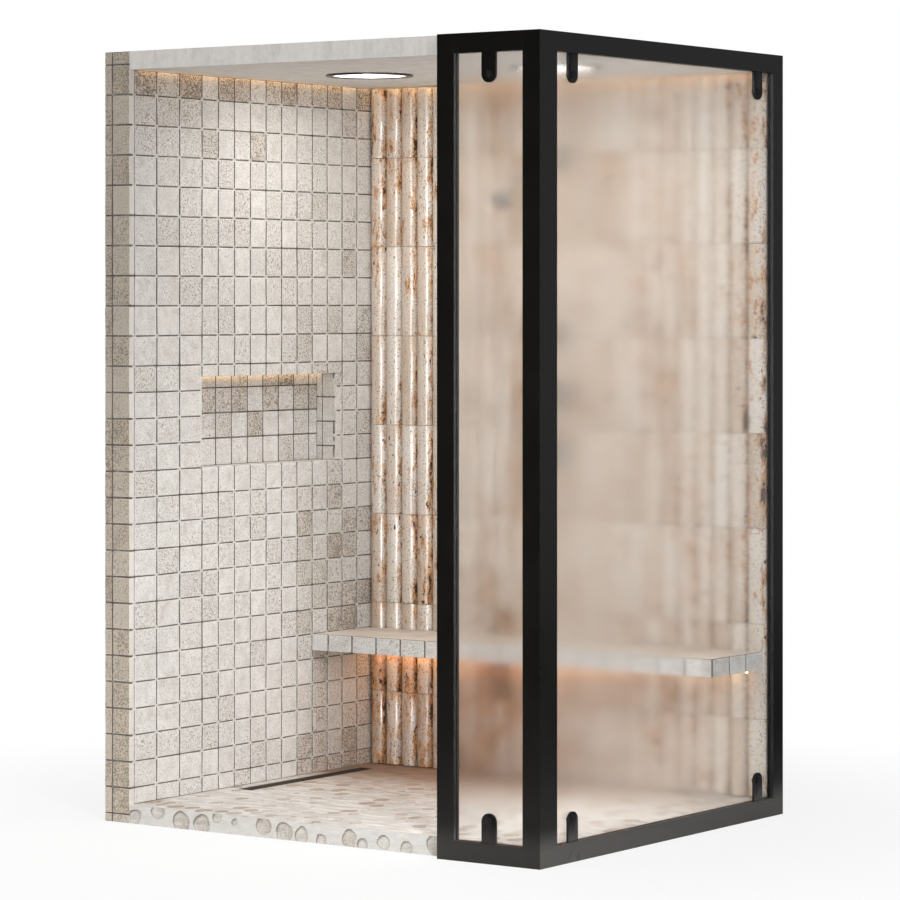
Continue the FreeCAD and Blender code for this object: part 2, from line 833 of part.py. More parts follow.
def screens():
    """The narrow front window and the wide side window, with the hardware that they share."""
    front_left = Vector(x_right - front_frame_width, y_front, 0)
    front = window_frame(
        "front_frame", front_frame_width, front_left, FreeCAD.Rotation(), [front_frame_width / 2])
    side_width = overall_depth - bar_depth
    side = window_frame(
        "side_frame", side_width, Vector(x_right, side_front_y, 0), FreeCAD.Rotation(UP, 90),
        [stile_width + clip_inset_from_stile, side_width - stile_width - clip_inset_from_stile])
    save("frame_corner_cleats", front["cleat"] + side["cleat"])
    save("frame_end_caps", front["cap"] + side["cap"])
    save("glass_clips", front["clip"] + side["clip"])
    save("clip_pads", front["pad"] + side["pad"])
    save("clip_bolts", front["bolt"] + side["bolt"])
    save("clip_nuts", front["nut"] + side["nut"])
    rear_y = front_plane_y
    packers = []
    for low in (0, ceiling_z):
        packers.append(box(front_left.x, side_frame_x, side_front_y, rear_y, low, low + slab_thickness))
    save("frame_packers", packers)


def control(name, height, length, lever):
    """Round handle that turns in the neck of its concealed valve, with or without a lever."""
    neck_front = Vector(fixture_x, crest_y - rosette_thickness + valve_neck_setback, height)
    front = Vector(fixture_x, crest_y - rosette_thickness - length, height)
    handle = rod(handle_radius, front, neck_front + BACK * handle_insertion)
    if lever:
        half = lever_width / 2
        start_y = front.y + lever_end_setback
        handle = handle.fuse(box(
            fixture_x - half, fixture_x + half, start_y, start_y + lever_thickness,
            height, height + handle_radius + lever_reach))
    save(name, handle)


def shower_set():
    """Valves, pipes, rosettes and handles of the concealed shower."""
    neck_front = crest_y - rosette_thickness + valve_neck_setback
    socket_depth = handle_insertion + handle_end_gap
    bodies = []
    rosettes = []
    neck_half = valve_neck_width / 2
    widths = [stop_rosette_width, mixer_rosette_width, flow_rosette_width]
    for height, width in zip(valve_heights(), widths):
        half = valve_block_width / 2
        block = box(
            fixture_x - half, fixture_x + half, chase_face_y, chase_face_y + valve_block_depth,
            height - valve_block_height / 2, height + valve_block_height / 2)
        neck_end = Vector(fixture_x, neck_front, height)
        neck = square_bar(neck_half, neck_front, chase_face_y, height)
        socket = rod(
            handle_radius + handle_clearance, neck_end, neck_end + BACK * socket_depth)
        bodies.append(block.fuse(neck).cut(socket))
        hole = square_bar(neck_half + rosette_gap, crest_y - rosette_thickness, crest_y, height)
        rosettes.append(
            square_bar(width / 2, crest_y - rosette_thickness, crest_y, height).cut(hole))
    save("valve_bodies", bodies)
    arm_plate = square_bar(
        arm_rosette_width / 2, crest_y - rosette_thickness, crest_y, arm_height)
    rosettes.append(arm_plate.cut(rod(
        arm_radius + rosette_gap, Vector(fixture_x, crest_y - rosette_thickness, arm_height),
        Vector(fixture_x, crest_y, arm_height))))
    save("wall_rosettes", rosettes)
    control("stop_handle", stop_height, stop_handle_length, False)
    control("mixer_handle", mixer_height, mixer_handle_length, True)
    control("flow_handle", flow_height, flow_handle_length, True)
    pipework()


def pipework():
    """Hot and cold supplies up to the mixer's side arms, and the risers between the valves."""
    block_half = valve_block_height / 2
    elbow_half = elbow_size / 2
    supplies = {"hot_supply_pipe": -1, "cold_supply_pipe": 1}
    for name, side in supplies.items():
        x = fixture_x + side * supply_centres / 2
        ends = sorted((fixture_x + side * valve_block_width / 2, x + side * elbow_half))
        side_arm = box(
            ends[0], ends[1], chase_face_y, chase_face_y + elbow_size + elbow_half,
            mixer_height - elbow_half, mixer_height + elbow_half)
        foot = Vector(x, pipe_y, supply_pipe_bottom)
        upright = tube(pipe_radius, pipe_bore_radius, foot, Vector(x, pipe_y, mixer_height - elbow_half))
        save(name, side_arm.fuse(upright))
    levels = [
        (flow_height + block_half, mixer_height - block_half),
        (mixer_height + block_half, stop_height - block_half),
        (stop_height + block_half, arm_height - elbow_half)]
    risers = [
        rod(pipe_radius, Vector(fixture_x, pipe_y, low), Vector(fixture_x, pipe_y, high))
        for low, high in levels]
    arm_elbow = box(
        fixture_x - elbow_half, fixture_x + elbow_half, chase_face_y,
        chase_face_y + elbow_size + elbow_half, arm_height - elbow_half, arm_height + elbow_half)
    save("riser_pipes", risers + [arm_elbow])
    driver_x = fixture_x + elbow_half + driver_gap
    save("light_driver", box(
        driver_x, driver_x + driver_width, chase_face_y, chase_face_y + driver_depth,
        arm_height - driver_height, arm_height))


def shower_arm_and_head():
    """Bent arm that ends in a ball, and the spray head whose neck closes round the ball."""
    start = Vector(fixture_x, chase_face_y, arm_height)
    bend_start = Vector(fixture_x, crest_y - arm_stub, arm_height)
    angle = math.radians(arm_bend_degrees)
    slope = Vector(0, -math.cos(angle), -math.sin(angle))

    def on_bend(turn):
        """Point of the bend after turning by an angle."""
        return bend_start + Vector(
            0, -arm_bend_radius * math.sin(turn), arm_bend_radius * (math.cos(turn) - 1))

    bend_end = on_bend(angle)
    tip = bend_end + slope * arm_slope_length
    path = Part.Wire([
        Part.makeLine(start, bend_start),
        Part.Arc(bend_start, on_bend(angle / 2), bend_end).toShape(),
        Part.makeLine(bend_end, tip)])
    ring = Part.Wire(Part.makeCircle(arm_radius, start, BACK))
    pipe = path.makePipeShell([ring], True, False)
    centre = tip + slope * ball_neck_length
    neck = rod(ball_neck_radius, tip, centre)
    ball = Part.makeSphere(ball_radius, centre, slope, -ball_zone_degrees, ball_zone_degrees, 360)
    save("shower_arm", pipe.multiFuse([neck, ball]))

    seat_radius = ball_radius + ball_clearance
    ball_rise = math.sqrt(seat_radius ** 2 - nut_mouth_radius ** 2)
    nut_top = centre - slope * (nut_lip + ball_rise)
    rim_top = nut_height
    rim_bottom = rim_top + head_height
    save("shower_head", turned([
        (nut_mouth_radius, 0), (nut_radius, 0), (nut_radius, rim_top), (head_radius, rim_top),
        (head_radius, rim_bottom), (0, rim_bottom), (0, rim_top), (seat_radius, rim_top),
        (seat_radius, nut_lip), (nut_mouth_radius, nut_lip)], nut_top, slope))
    plate_top = nut_top + slope * rim_bottom
    save("spray_plate", rod(spray_plate_radius, plate_top, plate_top + slope * spray_plate_thickness))


def build():
    """Write every piece of the cabin."""
    os.makedirs("parts", exist_ok=True)
    left_wall()
    back_wall()
    floor_and_drain()
    ceiling()
    light_lines()
    bench()
    screens()
    shower_set()
    shower_arm_and_head()


build()
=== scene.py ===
import math
import random

import bmesh
import bpy
from mathutils import Matrix, Vector


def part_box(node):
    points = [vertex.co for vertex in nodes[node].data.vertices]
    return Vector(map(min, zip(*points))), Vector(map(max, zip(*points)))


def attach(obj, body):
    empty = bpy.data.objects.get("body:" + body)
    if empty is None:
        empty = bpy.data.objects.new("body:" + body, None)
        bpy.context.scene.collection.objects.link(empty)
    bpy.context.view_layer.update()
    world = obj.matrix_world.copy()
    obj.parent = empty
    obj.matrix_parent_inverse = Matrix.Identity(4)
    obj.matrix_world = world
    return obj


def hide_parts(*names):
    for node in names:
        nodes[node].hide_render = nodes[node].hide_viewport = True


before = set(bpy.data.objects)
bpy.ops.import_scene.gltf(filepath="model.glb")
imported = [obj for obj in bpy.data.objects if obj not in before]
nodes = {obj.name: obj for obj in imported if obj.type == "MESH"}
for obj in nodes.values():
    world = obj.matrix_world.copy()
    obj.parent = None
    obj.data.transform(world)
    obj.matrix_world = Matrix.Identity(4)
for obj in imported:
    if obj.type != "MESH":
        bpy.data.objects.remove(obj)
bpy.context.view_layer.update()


# Camera
# The photographer stands off the front right corner with a long lens, at eye height, and keeps
# the verticals upright by shifting the lens down.
camera_lens = bpy.data.cameras.new("camera")
camera_lens.lens = 146.0
camera_lens.sensor_width = 36.0
camera_lens.shift_y = -0.1661
camera_lens.clip_end = 100.0
camera = bpy.data.objects.new("camera", camera_lens)
camera.location = (6.5947, -9.3753, 1.625)
camera.rotation_euler = (math.radians(90), 0.0, math.radians(35))
bpy.context.scene.collection.objects.link(camera)
bpy.context.scene.camera = camera
bpy.context.scene.view_settings.view_transform = "Standard"


# Studio
# A white floor sweep that keeps the cabin's shadow, an even white surround, and one large soft
# light from the front right that reaches in past the open side of the entry.
class Value:
    """One output of a material's nodes, usable in arithmetic."""

    def __init__(self, tree, socket):
        self.tree = tree
        self.socket = socket

    def maths(self, operation, *operands):
        node = self.tree.nodes.new("ShaderNodeMath")
        node.operation = operation
        for socket, operand in zip(node.inputs, operands):
            feed(self.tree, socket, operand)
        return Value(self.tree, node.outputs[0])

    def __add__(self, other):
        return self.maths("ADD", self, other)

    def __sub__(self, other):
        return self.maths("SUBTRACT", self, other)

    def __rsub__(self, other):
        return self.maths("SUBTRACT", other, self)

    def __mul__(self, other):
        return self.maths("MULTIPLY", self, other)

    def __truediv__(self, other):
        return self.maths("DIVIDE", self, other)

    def __lt__(self, other):
        return self.maths("LESS_THAN", self, other)

    def __gt__(self, other):
        return self.maths("GREATER_THAN", self, other)

    __radd__ = __add__
    __rmul__ = __mul__

    def to(self, low, high):
        """0 at low, 1 at high, smooth between them."""
        node = self.tree.nodes.new("ShaderNodeMapRange")
        node.interpolation_type = "SMOOTHSTEP"
        for name, operand in (("Value", self), ("From Min", low), ("From Max", high)):
            feed(self.tree, node.inputs[name], operand)
        return Value(self.tree, node.outputs[0])


def feed(tree, socket, operand):
    """Link a value to a socket, or write a plain number or colour on it."""
    if isinstance(operand, Value):
        tree.links.new(operand.socket, socket)
        return
    if hasattr(socket.default_value, "__len__") and len(socket.default_value) == 4:
        operand = (*operand, 1.0) if len(operand) == 3 else operand
    socket.default_value = operand


class Finish:
    """A material, built node by node."""

    def __init__(self, name):
        self.material = bpy.data.materials.new(name)
        self.material.use_nodes = True
        self.tree = self.material.node_tree
        self.tree.nodes.clear()

    def node(self, kind, settings, sockets, output=0):
        made = self.tree.nodes.new("ShaderNode" + kind)
        for key, setting in settings.items():
            if key == "stops":
                while len(made.color_ramp.elements) < len(setting):
                    made.color_ramp.elements.new(0.5)
                for element, (place, colour) in zip(made.color_ramp.elements, setting):
                    element.position = place
                    element.color = (*colour, 1.0)
            else:
                setattr(made, key, setting)
        for key, operand in sockets.items():
            feed(self.tree, made.inputs[key], operand)
        return Value(self.tree, made.outputs[output])

    def place(self, scale=(1.0, 1.0, 1.0), shift=None):
        """The point on the cabin in metres, stretched by a scale and moved by a colour."""
        where = self.node("TexCoord", {}, {}, "Object")
        if shift is not None:
            where = self.node("VectorMath", {"operation": "ADD"}, {0: where, 1: shift})
        return self.node("Mapping", {}, {"Vector": where, "Scale": scale})

    def noise(self, where, scale, detail=3.0, roughness=0.55, output="Fac"):
        sockets = {"Vector": where, "Scale": scale, "Detail": detail, "Roughness": roughness}
        return self.node("TexNoise", {}, sockets, output)

    def mix(self, share, first, second, way="MIX"):
        settings = {"data_type": "RGBA", "blend_type": way}
        return self.node("Mix", settings, {0: share, 6: first, 7: second}, 2)

    def ramp(self, share, *stops):
        return self.node("ValToRGB", {"stops": stops}, {"Fac": share})

    def axis(self, name):
        """One coordinate of the point on the cabin, in metres."""
        return self.node("SeparateXYZ", {}, {"Vector": self.place()}, name)

    def facing(self, name):
        """How far the surface faces along one axis, from -1 to 1."""
        normal = self.node("NewGeometry", {}, {}, "Normal")
        return self.node("SeparateXYZ", {}, {"Vector": normal}, name)

    def bump(self, height, depth, strength=1.0):
        sockets = {"Height": height, "Distance": depth, "Strength": strength}
        return self.node("Bump", {}, sockets)

    def surface(self, **sockets):
        named = {key.replace("_", " "): operand for key, operand in sockets.items()}
        self.output(self.node("BsdfPrincipled", {}, named))

    def output(self, shader):
        end = self.tree.nodes.new("ShaderNodeOutputMaterial")
        self.tree.links.new(shader.socket, end.inputs["Surface"])


def mesh_piece(name, points, faces, material):
    """A new mesh object with its place in its points."""
    mesh = bpy.data.meshes.new(name)
    mesh.from_pydata([tuple(point) for point in points], [], faces)
    mesh.materials.append(material)
    mesh.validate()
    piece = bpy.data.objects.new(name, mesh)
    bpy.context.scene.collection.objects.link(piece)
    return piece


sweep = Finish("studio sweep")
sweep_seen = sweep.node("LightPath", {}, {}, "Is Camera Ray")
sweep_through = sweep.node("LightPath", {}, {}, "Is Transmission Ray")
sweep_light = sweep_seen.maths("MAXIMUM", sweep_seen, sweep_through)
sweep_reach = sweep.node("VectorMath", {"operation": "LENGTH"}, {0: sweep.place()}, "Value")
sweep_paint = sweep.mix(sweep_reach.to(1.5, 3.0), (0.86, 0.86, 0.86), (0.10, 0.10, 0.10))
sweep_matt = sweep.node("BsdfDiffuse", {}, {"Color": sweep_paint})
sweep_white = sweep.node("Emission", {}, {"Color": (1.0, 1.0, 1.0), "Strength": 1.0})
sweep_share = sweep_reach.to(0.9, 2.6) * 0.16 + 0.84
sweep_parts = {0: sweep_light * sweep_share, 1: sweep_matt, 2: sweep_white}
sweep.output(sweep.node("MixShader", {}, sweep_parts))
floor_reach = 30.0
studio_floor = mesh_piece(
    "studio_floor",
    [(x * floor_reach, y * floor_reach, 0.0) for x, y in ((-1, -1), (1, -1), (1, 1), (-1, 1))],
    [(0, 1, 2, 3)], sweep.material)

surround = bpy.data.worlds.new("surround")
surround.use_nodes = True
bpy.context.scene.world = surround
surround_plain = 0.42
surround_in_gloss = 0.08
sky = surround.node_tree
sky_rays = sky.nodes.new("ShaderNodeLightPath").outputs
sky_seen = Value(sky, sky_rays["Is Camera Ray"])
sky_white = sky_seen.maths("MAXIMUM", sky_seen, Value(sky, sky_rays["Is Transmission Ray"]))
sky_gloss = Value(sky, sky_rays["Is Glossy Ray"])
sky_room = surround_plain - sky_gloss * (surround_plain - surround_in_gloss)
sky_sockets = sky.nodes["Background"].inputs
feed(sky, sky_sockets["Color"], (1.0, 1.0, 1.0))
feed(sky, sky_sockets["Strength"], sky_white.maths("MAXIMUM", sky_white, sky_room))


def soft_light(name, place, aim, width, height, watts, colour=(1.0, 1.0, 1.0), unseen=()):
    """A soft light at one place, turned towards another and left out of some kinds of ray."""
    data = bpy.data.lights.new(name, "AREA")
    data.shape = "RECTANGLE"
    data.size = width
    data.size_y = height
    data.energy = watts
    data.color = colour
    lamp = bpy.data.objects.new(name, data)
    lamp.location = place
    lamp.rotation_euler = (Vector(aim) - Vector(place)).to_track_quat("-Z", "Y").to_euler()
    bpy.context.scene.collection.objects.link(lamp)
    for ray in unseen:
        setattr(lamp, "visible_" + ray, False)
    return lamp


key_place = Vector((4.1, -3.7, 3.9))
key_colour = (1.0, 0.99, 0.975)
strip_aim = (-0.4, 0.6, 1.3)
white = (1.0, 1.0, 1.0)
shine_only = ("diffuse", "transmission")
no_shine = ("camera", "glossy", "transmission")
soft_light("key", key_place, (-0.73, 0.0, 1.0), 1.1, 1.1, 24.0, key_colour)
soft_light("tall strip", (3.3, -4.9, 2.2), strip_aim, 0.7, 4.2, 62.0)
soft_light("tall sheen strip", (3.35, -4.95, 2.2), strip_aim, 2.0, 4.6, 620.0, white, shine_only)
soft_light("side panel", (4.6, 5.2, 1.9), (0.83, 0.0, 1.2), 4.0, 4.5, 19.0, white, shine_only)
soft_light("front wash", (-2.6, -5.6, 2.4), (-0.4, -0.7, 1.3), 2.0, 2.6, 84.0,
           (1.0, 0.98, 0.945), no_shine)
soft_light("light let in low", (0.58, -0.12, 0.42), (0.58, -0.12, 0.0), 0.35, 1.0, 1.9,
           white, no_shine)
soft_light("light let in by the side pane", (0.78, -0.05, 1.2), (0.0, -0.05, 1.2), 1.1, 2.0, 2.5,
           (1.0, 0.975, 0.94), no_shine)
low_beam = bpy.data.lights.new("low beam", "SPOT")
low_beam.energy = 745.0
low_beam.spot_size = math.radians(20.5)
low_beam.spot_blend = 0.25
low_beam.shadow_soft_size = 0.45
low_beam.color = key_colour
low_aim = Vector((-0.72, -0.15, -0.05))
low_lamp = bpy.data.objects.new("low beam", low_beam)
low_lamp.location = key_place
low_lamp.rotation_euler = (low_aim - key_place).to_track_quat("-Z", "Y").to_euler()
bpy.context.scene.collection.objects.link(low_lamp)


# Wall cores
# Cement-faced building board, bonded into a left slab with a niche pocket, a back slab with a
# service chase and the bench's carcass. Only their outer sides stay in sight.
def clothe(material, slot_name, *names):
    """Give CAD nodes their finish."""
    for name in names:
        nodes[name].data.materials.clear()
        nodes[name].data.materials.append(material)


board = Finish("cement board")
board_place = board.place()
board_cloud = board.noise(board_place, 3.0, 4.0)
board_grit = board.noise(board_place, 420.0, 2.0)
board_tone = board.ramp(
    board_cloud * 0.7 + board_grit * 0.3,
    (0.3, (0.36, 0.35, 0.33)), (0.55, (0.46, 0.45, 0.42)), (0.75, (0.55, 0.54, 0.51)))
board.surface(
    Base_Color=board_tone, Roughness=0.75 + board_grit * 0.2,
    Normal=board.bump(board_grit, 0.0006, 0.5))
clothe(board.material, "core_board", "left_wall_core", "back_wall_core", "bench_core")


# Left wall tiles
# Tumbled limestone squares with worn edges, set in a straight grid on sheets and pressed into
# dark mortar, on the inner face and round the wall's front end.
wall_low, wall_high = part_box("left_wall_tile_sheets")
end_low, end_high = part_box("left_wall_end_tile_sheets")
niche_low, niche_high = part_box("niche_back_tile_sheets")
tile_joint = 0.0036
row_joint = 0.0028
tile_wear = 0.0012
tile_depth = 0.010
row_pitch = 0.082
top_row_pitch = 0.094
column_pitch = 0.083
row_joints = [0.026 + row_pitch * row for row in range(18)]
row_joints += [1.420 + top_row_pitch * row for row in range(1, 11)]
column_joints = [-0.629, -0.520, -0.407]
column_joints += [-0.294 + column_pitch * column for column in range(11)]
corner_return = 0.024
corner_band = 0.0225
face_band = 0.0035
row_ease = 0.0003
least_side = 0.006
tone_spread = 0.20
quarter_turn = math.pi / 2


def lofted(name, rings):
    """A closed form through rings of points, kept aside to be set many times."""
    count = len(rings[0])
    points = [point for ring in rings for point in ring]
    faces = [tuple(reversed(range(count)))]
    for start in range(0, len(points) - count, count):
        for side in range(count):
            a, b = start + side, start + (side + 1) % count
            faces.append((a, b, b + count, a + count))
    faces.append(tuple(range(len(points) - count, len(points))))
    blank = mesh_piece(name, points, faces, board.material)
    bpy.context.scene.collection.objects.unlink(blank)
    return blank


def tile_blank():
    """One tile of unit size on the YZ plane, facing +X, with a worn round edge. Its rim value is 0
    on the face, 1 on the worn edge and 2 on the buried sides."""
    steps = 3
    corner = 0.055
    rings = []
    for depth, inset in ((0.0, 0.0), (0.55, 0.0), (0.88, 0.012), (1.0, 0.034), (1.0, 0.085)):
        middle = Vector((0.5 - max(corner, inset), 0.5 - max(corner, inset)))
        reach = max(corner - inset, 0.01)
        ring = []
        for quarter in range(4):
            for step in range(steps):
                angle = math.radians(90 * step / (steps - 1))
                point = middle + Vector((math.cos(angle), math.sin(angle))) * reach
                point = Matrix.Rotation(math.radians(90 * quarter), 2) @ point
                ring.append((depth, point.x, point.y))
        rings.append(ring)
    blank = lofted("tile_blank", rings)
    rim = blank.data.attributes.new("rim", "FLOAT", "POINT")
    for number, item in enumerate(rim.data):
        item.value = (2.0, 2.0, 1.5, 1.0, 0.0)[number // len(rings[0])]
    return blank


def scatter_tree(name, blank, wobble_scale):
    """Geometry nodes that set a blank on each point, sized and turned by the point's values."""
    tree = bpy.data.node_groups.new(name, "GeometryNodeTree")
    inputs = (("Geometry", "Geometry"), ("Tilt", "Float"), ("Wear", "Float"), ("Seed", "Int"),
              ("Material", "Material"))
    for key, kind in inputs:
        tree.interface.new_socket(key, in_out="INPUT", socket_type="NodeSocket" + kind)
    tree.interface.new_socket("Geometry", in_out="OUTPUT", socket_type="NodeSocketGeometry")

    def add(kind, settings=None, sockets=None):
        made = tree.nodes.new(kind)
        for key, setting in (settings or {}).items():
            setattr(made, key, setting)
        for key, operand in (sockets or {}).items():
            if isinstance(operand, bpy.types.NodeSocket):
                tree.links.new(operand, made.inputs[key])
            else:
                made.inputs[key].default_value = operand
        return made

    given = add("NodeGroupInput").outputs
    size = add("GeometryNodeInputNamedAttribute", {"data_type": "FLOAT_VECTOR"}, {"Name": "size"})
    turn = add("GeometryNodeInputNamedAttribute", {"data_type": "FLOAT_VECTOR"}, {"Name": "turn"})
    shape = add("GeometryNodeObjectInfo", {}, {"Object": blank})
    placed = add("GeometryNodeInstanceOnPoints", {}, {
        "Points": given["Geometry"], "Instance": shape.outputs["Geometry"],
        "Rotation": turn.outputs[0], "Scale": size.outputs[0]})
    low = add("ShaderNodeMath", {"operation": "MULTIPLY"}, {0: given["Tilt"], 1: -1.0})
    tilt = add("FunctionNodeRandomValue", {"data_type": "FLOAT_VECTOR"}, {
        0: low.outputs[0], 1: given["Tilt"], "Seed": given["Seed"]})
    tilted = add("GeometryNodeRotateInstances", {}, {
        "Instances": placed.outputs[0], "Rotation": tilt.outputs[0]})
    real = add("GeometryNodeRealizeInstances", {}, {"Geometry": tilted.outputs[0]})
    wobble = add("ShaderNodeTexNoise", {}, {"Scale": wobble_scale, "Detail": 2.0})
    centred = add("ShaderNodeVectorMath", {"operation": "SUBTRACT"}, {
        0: wobble.outputs["Color"], 1: (0.5, 0.5, 0.5)})
    pushed = add("ShaderNodeVectorMath", {"operation": "SCALE"}, {
        0: centred.outputs[0], "Scale": given["Wear"]})
    worn = add("GeometryNodeSetPosition", {}, {
        "Geometry": real.outputs[0], "Offset": pushed.outputs[0]})
    dressed = add("GeometryNodeSetMaterial", {}, {
        "Geometry": worn.outputs[0], "Material": given["Material"]})
    add("NodeGroupOutput", {}, {0: dressed.outputs[0]})
    return tree


def applied(piece):
    """Make the shape that a piece's modifiers give it its own plain mesh."""
    graph = bpy.context.evaluated_depsgraph_get()
    plain = bpy.data.meshes.new_from_object(piece.evaluated_get(graph))
    piece.modifiers.clear()
    piece.data = plain


def scatter(name, tree, blanks, tilt, wear, seed, material):
    """Run a scatter tree over blanks given as (place, size, turn, tone), as one plain mesh."""
    piece = mesh_piece(name, [blank[0] for blank in blanks], [], material)
    columns = (("size", "FLOAT_VECTOR"), ("turn", "FLOAT_VECTOR"), ("tone", "FLOAT"))
    for column, (key, kind) in enumerate(columns, 1):
        attribute = piece.data.attributes.new(key, kind, "POINT")
        for item, blank in zip(attribute.data, blanks):
            setattr(item, "value" if kind == "FLOAT" else "vector", blank[column])
    modifier = piece.modifiers.new(name, "NODES")
    modifier.node_group = tree
    wanted = {"Tilt": tilt, "Wear": wear, "Seed": seed, "Material": material}
    for item in tree.interface.items_tree:
        if item.item_type == "SOCKET" and item.in_out == "INPUT" and item.name in wanted:
            modifier[item.identifier] = wanted[item.name]
    applied(piece)
    return piece


def spans(joints, low, high, gap):
    """Start and end of each tile between two limits, clear of the joints."""
    least = 0.012
    inner = [place for place in joints if low + least < place < high - least]
    edges = [low - gap / 2] + inner + [high + gap / 2]
    return [(a + gap / 2, b - gap / 2) for a, b in zip(edges, edges[1:])]


def placed_tone_and_shade(y, z):
    """How dark the wall's stones are drawn at one place: most in the top rows, then by the back
    wall. The darker top rows and back tiles are partly the stones' own tone and partly painted
    shade: under the ceiling, and where the front frame shades the back of the wall.
    """
    if z > 2.26:
        return 0.80
    if z > 2.0:
        return 0.45
    if y > 0.25:
        return 0.42 if z > 1.0 else 0.62
    return 0.24


def drawn_tone(usual, most=1.0):
    """The tone of one stone, drawn near the usual one."""
    return min(most, max(0.0, tile_chance.gauss(usual, tone_spread)))


def tiled(*pieces):
    """Pieces of the tiled faces, fast to the cabin."""
    for piece in pieces:
        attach(piece, "cabin")


limestone = Finish("tumbled limestone")
tile_tone = limestone.node("Attribute", {"attribute_name": "tone"}, {}, "Fac")
tile_rim = limestone.node("Attribute", {"attribute_name": "rim"}, {}, "Fac")
tile_jump = limestone.node(
    "CombineXYZ", {}, {"X": tile_tone * 37.0, "Y": tile_tone * 11.0, "Z": tile_tone * 23.0})
tile_place = limestone.place(shift=tile_jump)
tile_grain = limestone.noise(tile_place, 170.0, 2.0, 0.75)
tile_fine = limestone.noise(tile_place, 300.0, 2.0, 0.6)
tile_cloud = limestone.noise(tile_place, 24.0, 3.0, 0.6)
tile_pale = limestone.ramp(
    tile_fine * 0.6 + tile_cloud * 0.4,
    (0.36, (0.47, 0.445, 0.42)), (0.48, (0.655, 0.64, 0.615)), (0.60, (0.78, 0.77, 0.755)))
tile_dark = limestone.ramp(
    tile_fine * 0.7 + tile_cloud * 0.3,
    (0.36, (0.060, 0.045, 0.032)), (0.50, (0.15, 0.118, 0.09)), (0.64, (0.30, 0.25, 0.20)))
tile_spots = (tile_grain + (tile_cloud - 0.5) * 0.35 + tile_tone * 0.16 - 0.635).to(0.0, 0.045)
# The stain follows each stone's tone. It carries the stones' own browning and also the painted
# shade of the top rows and the back of the wall.
tile_browning_and_shade = (tile_tone + (tile_cloud - 0.5) * 0.8).to(0.42, 1.12)
tile_colour = limestone.mix(tile_browning_and_shade * 0.72, tile_pale, (0.53, 0.447, 0.355))
tile_out = limestone.axis("X") - wall_high.x
tile_return = (tile_out.maths("ABSOLUTE", tile_out) < face_band) * (limestone.facing("X") > 0.6)
tile_end = (limestone.axis("Y") - end_low.y) < corner_band
tile_front = tile_end * (1.0 - tile_return)
tile_corner = tile_end * tile_return
tile_colour = limestone.mix(tile_front * 0.75, tile_colour, (0.51, 0.43, 0.335))
tile_colour = limestone.mix(tile_corner * 0.8, tile_colour, (0.74, 0.71, 0.665))
tile_share = (0.42 + tile_tone * 0.5) * (1.0 - tile_front * 0.22 - tile_corner * 0.8)
tile_colour = limestone.mix(tile_spots * tile_share, tile_colour, tile_dark)
tile_edge = tile_rim.to(0.0, 1.0) * (1.0 - tile_tone * 0.5) * tile_grain.to(0.35, 0.55)
tile_colour = limestone.mix(tile_edge * 0.35, tile_colour, (0.80, 0.785, 0.76))
tile_sunk = tile_rim.to(1.44, 1.68) * (1.0 - tile_return) * (0.80 + tile_grain * 0.2)
tile_colour = limestone.mix(tile_sunk, tile_colour, (0.115, 0.092, 0.072))
limestone.surface(
    Base_Color=tile_colour, Roughness=0.62 + tile_grain * 0.3,
    Normal=limestone.bump(tile_grain * 0.5 + tile_cloud * 0.6 - tile_spots * 0.3, 0.0022, 0.8))

tile_shape = tile_blank()
tile_tree = scatter_tree("tile setting", tile_shape, 34.0)
tile_chance = random.Random(11)
wall_tiles = []
niche_y = (niche_low.y, niche_high.y)
niche_z = (niche_low.z, niche_high.z)
for y0, y1 in spans(column_joints, end_low.y + corner_return, wall_high.y, tile_joint):
    for z0, z1 in spans(row_joints, wall_low.z + tile_wear, wall_high.z - tile_wear, row_joint):
        pieces = [(y0, y1, z0 - row_ease, z1 + row_ease)]
        if y1 > niche_y[0] and y0 < niche_y[1] and z1 > niche_z[0] and z0 < niche_z[1]:
            pieces = [
                (y0, y1, z0, niche_z[0]), (y0, y1, niche_z[1], z1),
                (y0, niche_y[0], max(z0, niche_z[0]), min(z1, niche_z[1])),
                (niche_y[1], y1, max(z0, niche_z[0]), min(z1, niche_z[1]))]
        for a, b, c, d in pieces:
            if b - a > least_side and d - c > least_side:
                place = (wall_low.x, (a + b) / 2, (c + d) / 2)
                usual = placed_tone_and_shade(b, c)
                tone = drawn_tone(usual, min(usual + 0.30, 1.0))
                wall_tiles.append((place, (tile_depth, b - a, d - c), (0, 0, 0), tone))
wall_facing = scatter(
    "left_wall_tiling", tile_tree, wall_tiles, tilt=0.012, wear=0.0026, seed=3,
    material=limestone.material)
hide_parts("left_wall_tile_sheets")

end_tiles = []
end_split = end_low.x + 0.030
for x0, x1, depth in (
        (end_low.x + tile_wear, end_split - tile_joint / 2, tile_depth - tile_wear / 2),
        (end_split + tile_joint / 2, wall_high.x, corner_return - tile_joint)):
    for z0, z1 in spans(row_joints, end_low.z + tile_wear, end_high.z - tile_wear, row_joint):
        place = ((x0 + x1) / 2, end_low.y + tile_wear / 2 + depth, (z0 + z1) / 2)
        size = (depth, x1 - x0, z1 - z0)
        end_tiles.append((place, size, (0, 0, -quarter_turn), drawn_tone(0.70)))
end_facing = scatter(
    "left_wall_end_tiling", tile_tree, end_tiles, tilt=0.012, wear=0.0024, seed=5,
    material=limestone.material)
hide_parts("left_wall_end_tile_sheets")
tiled(wall_facing, end_facing)


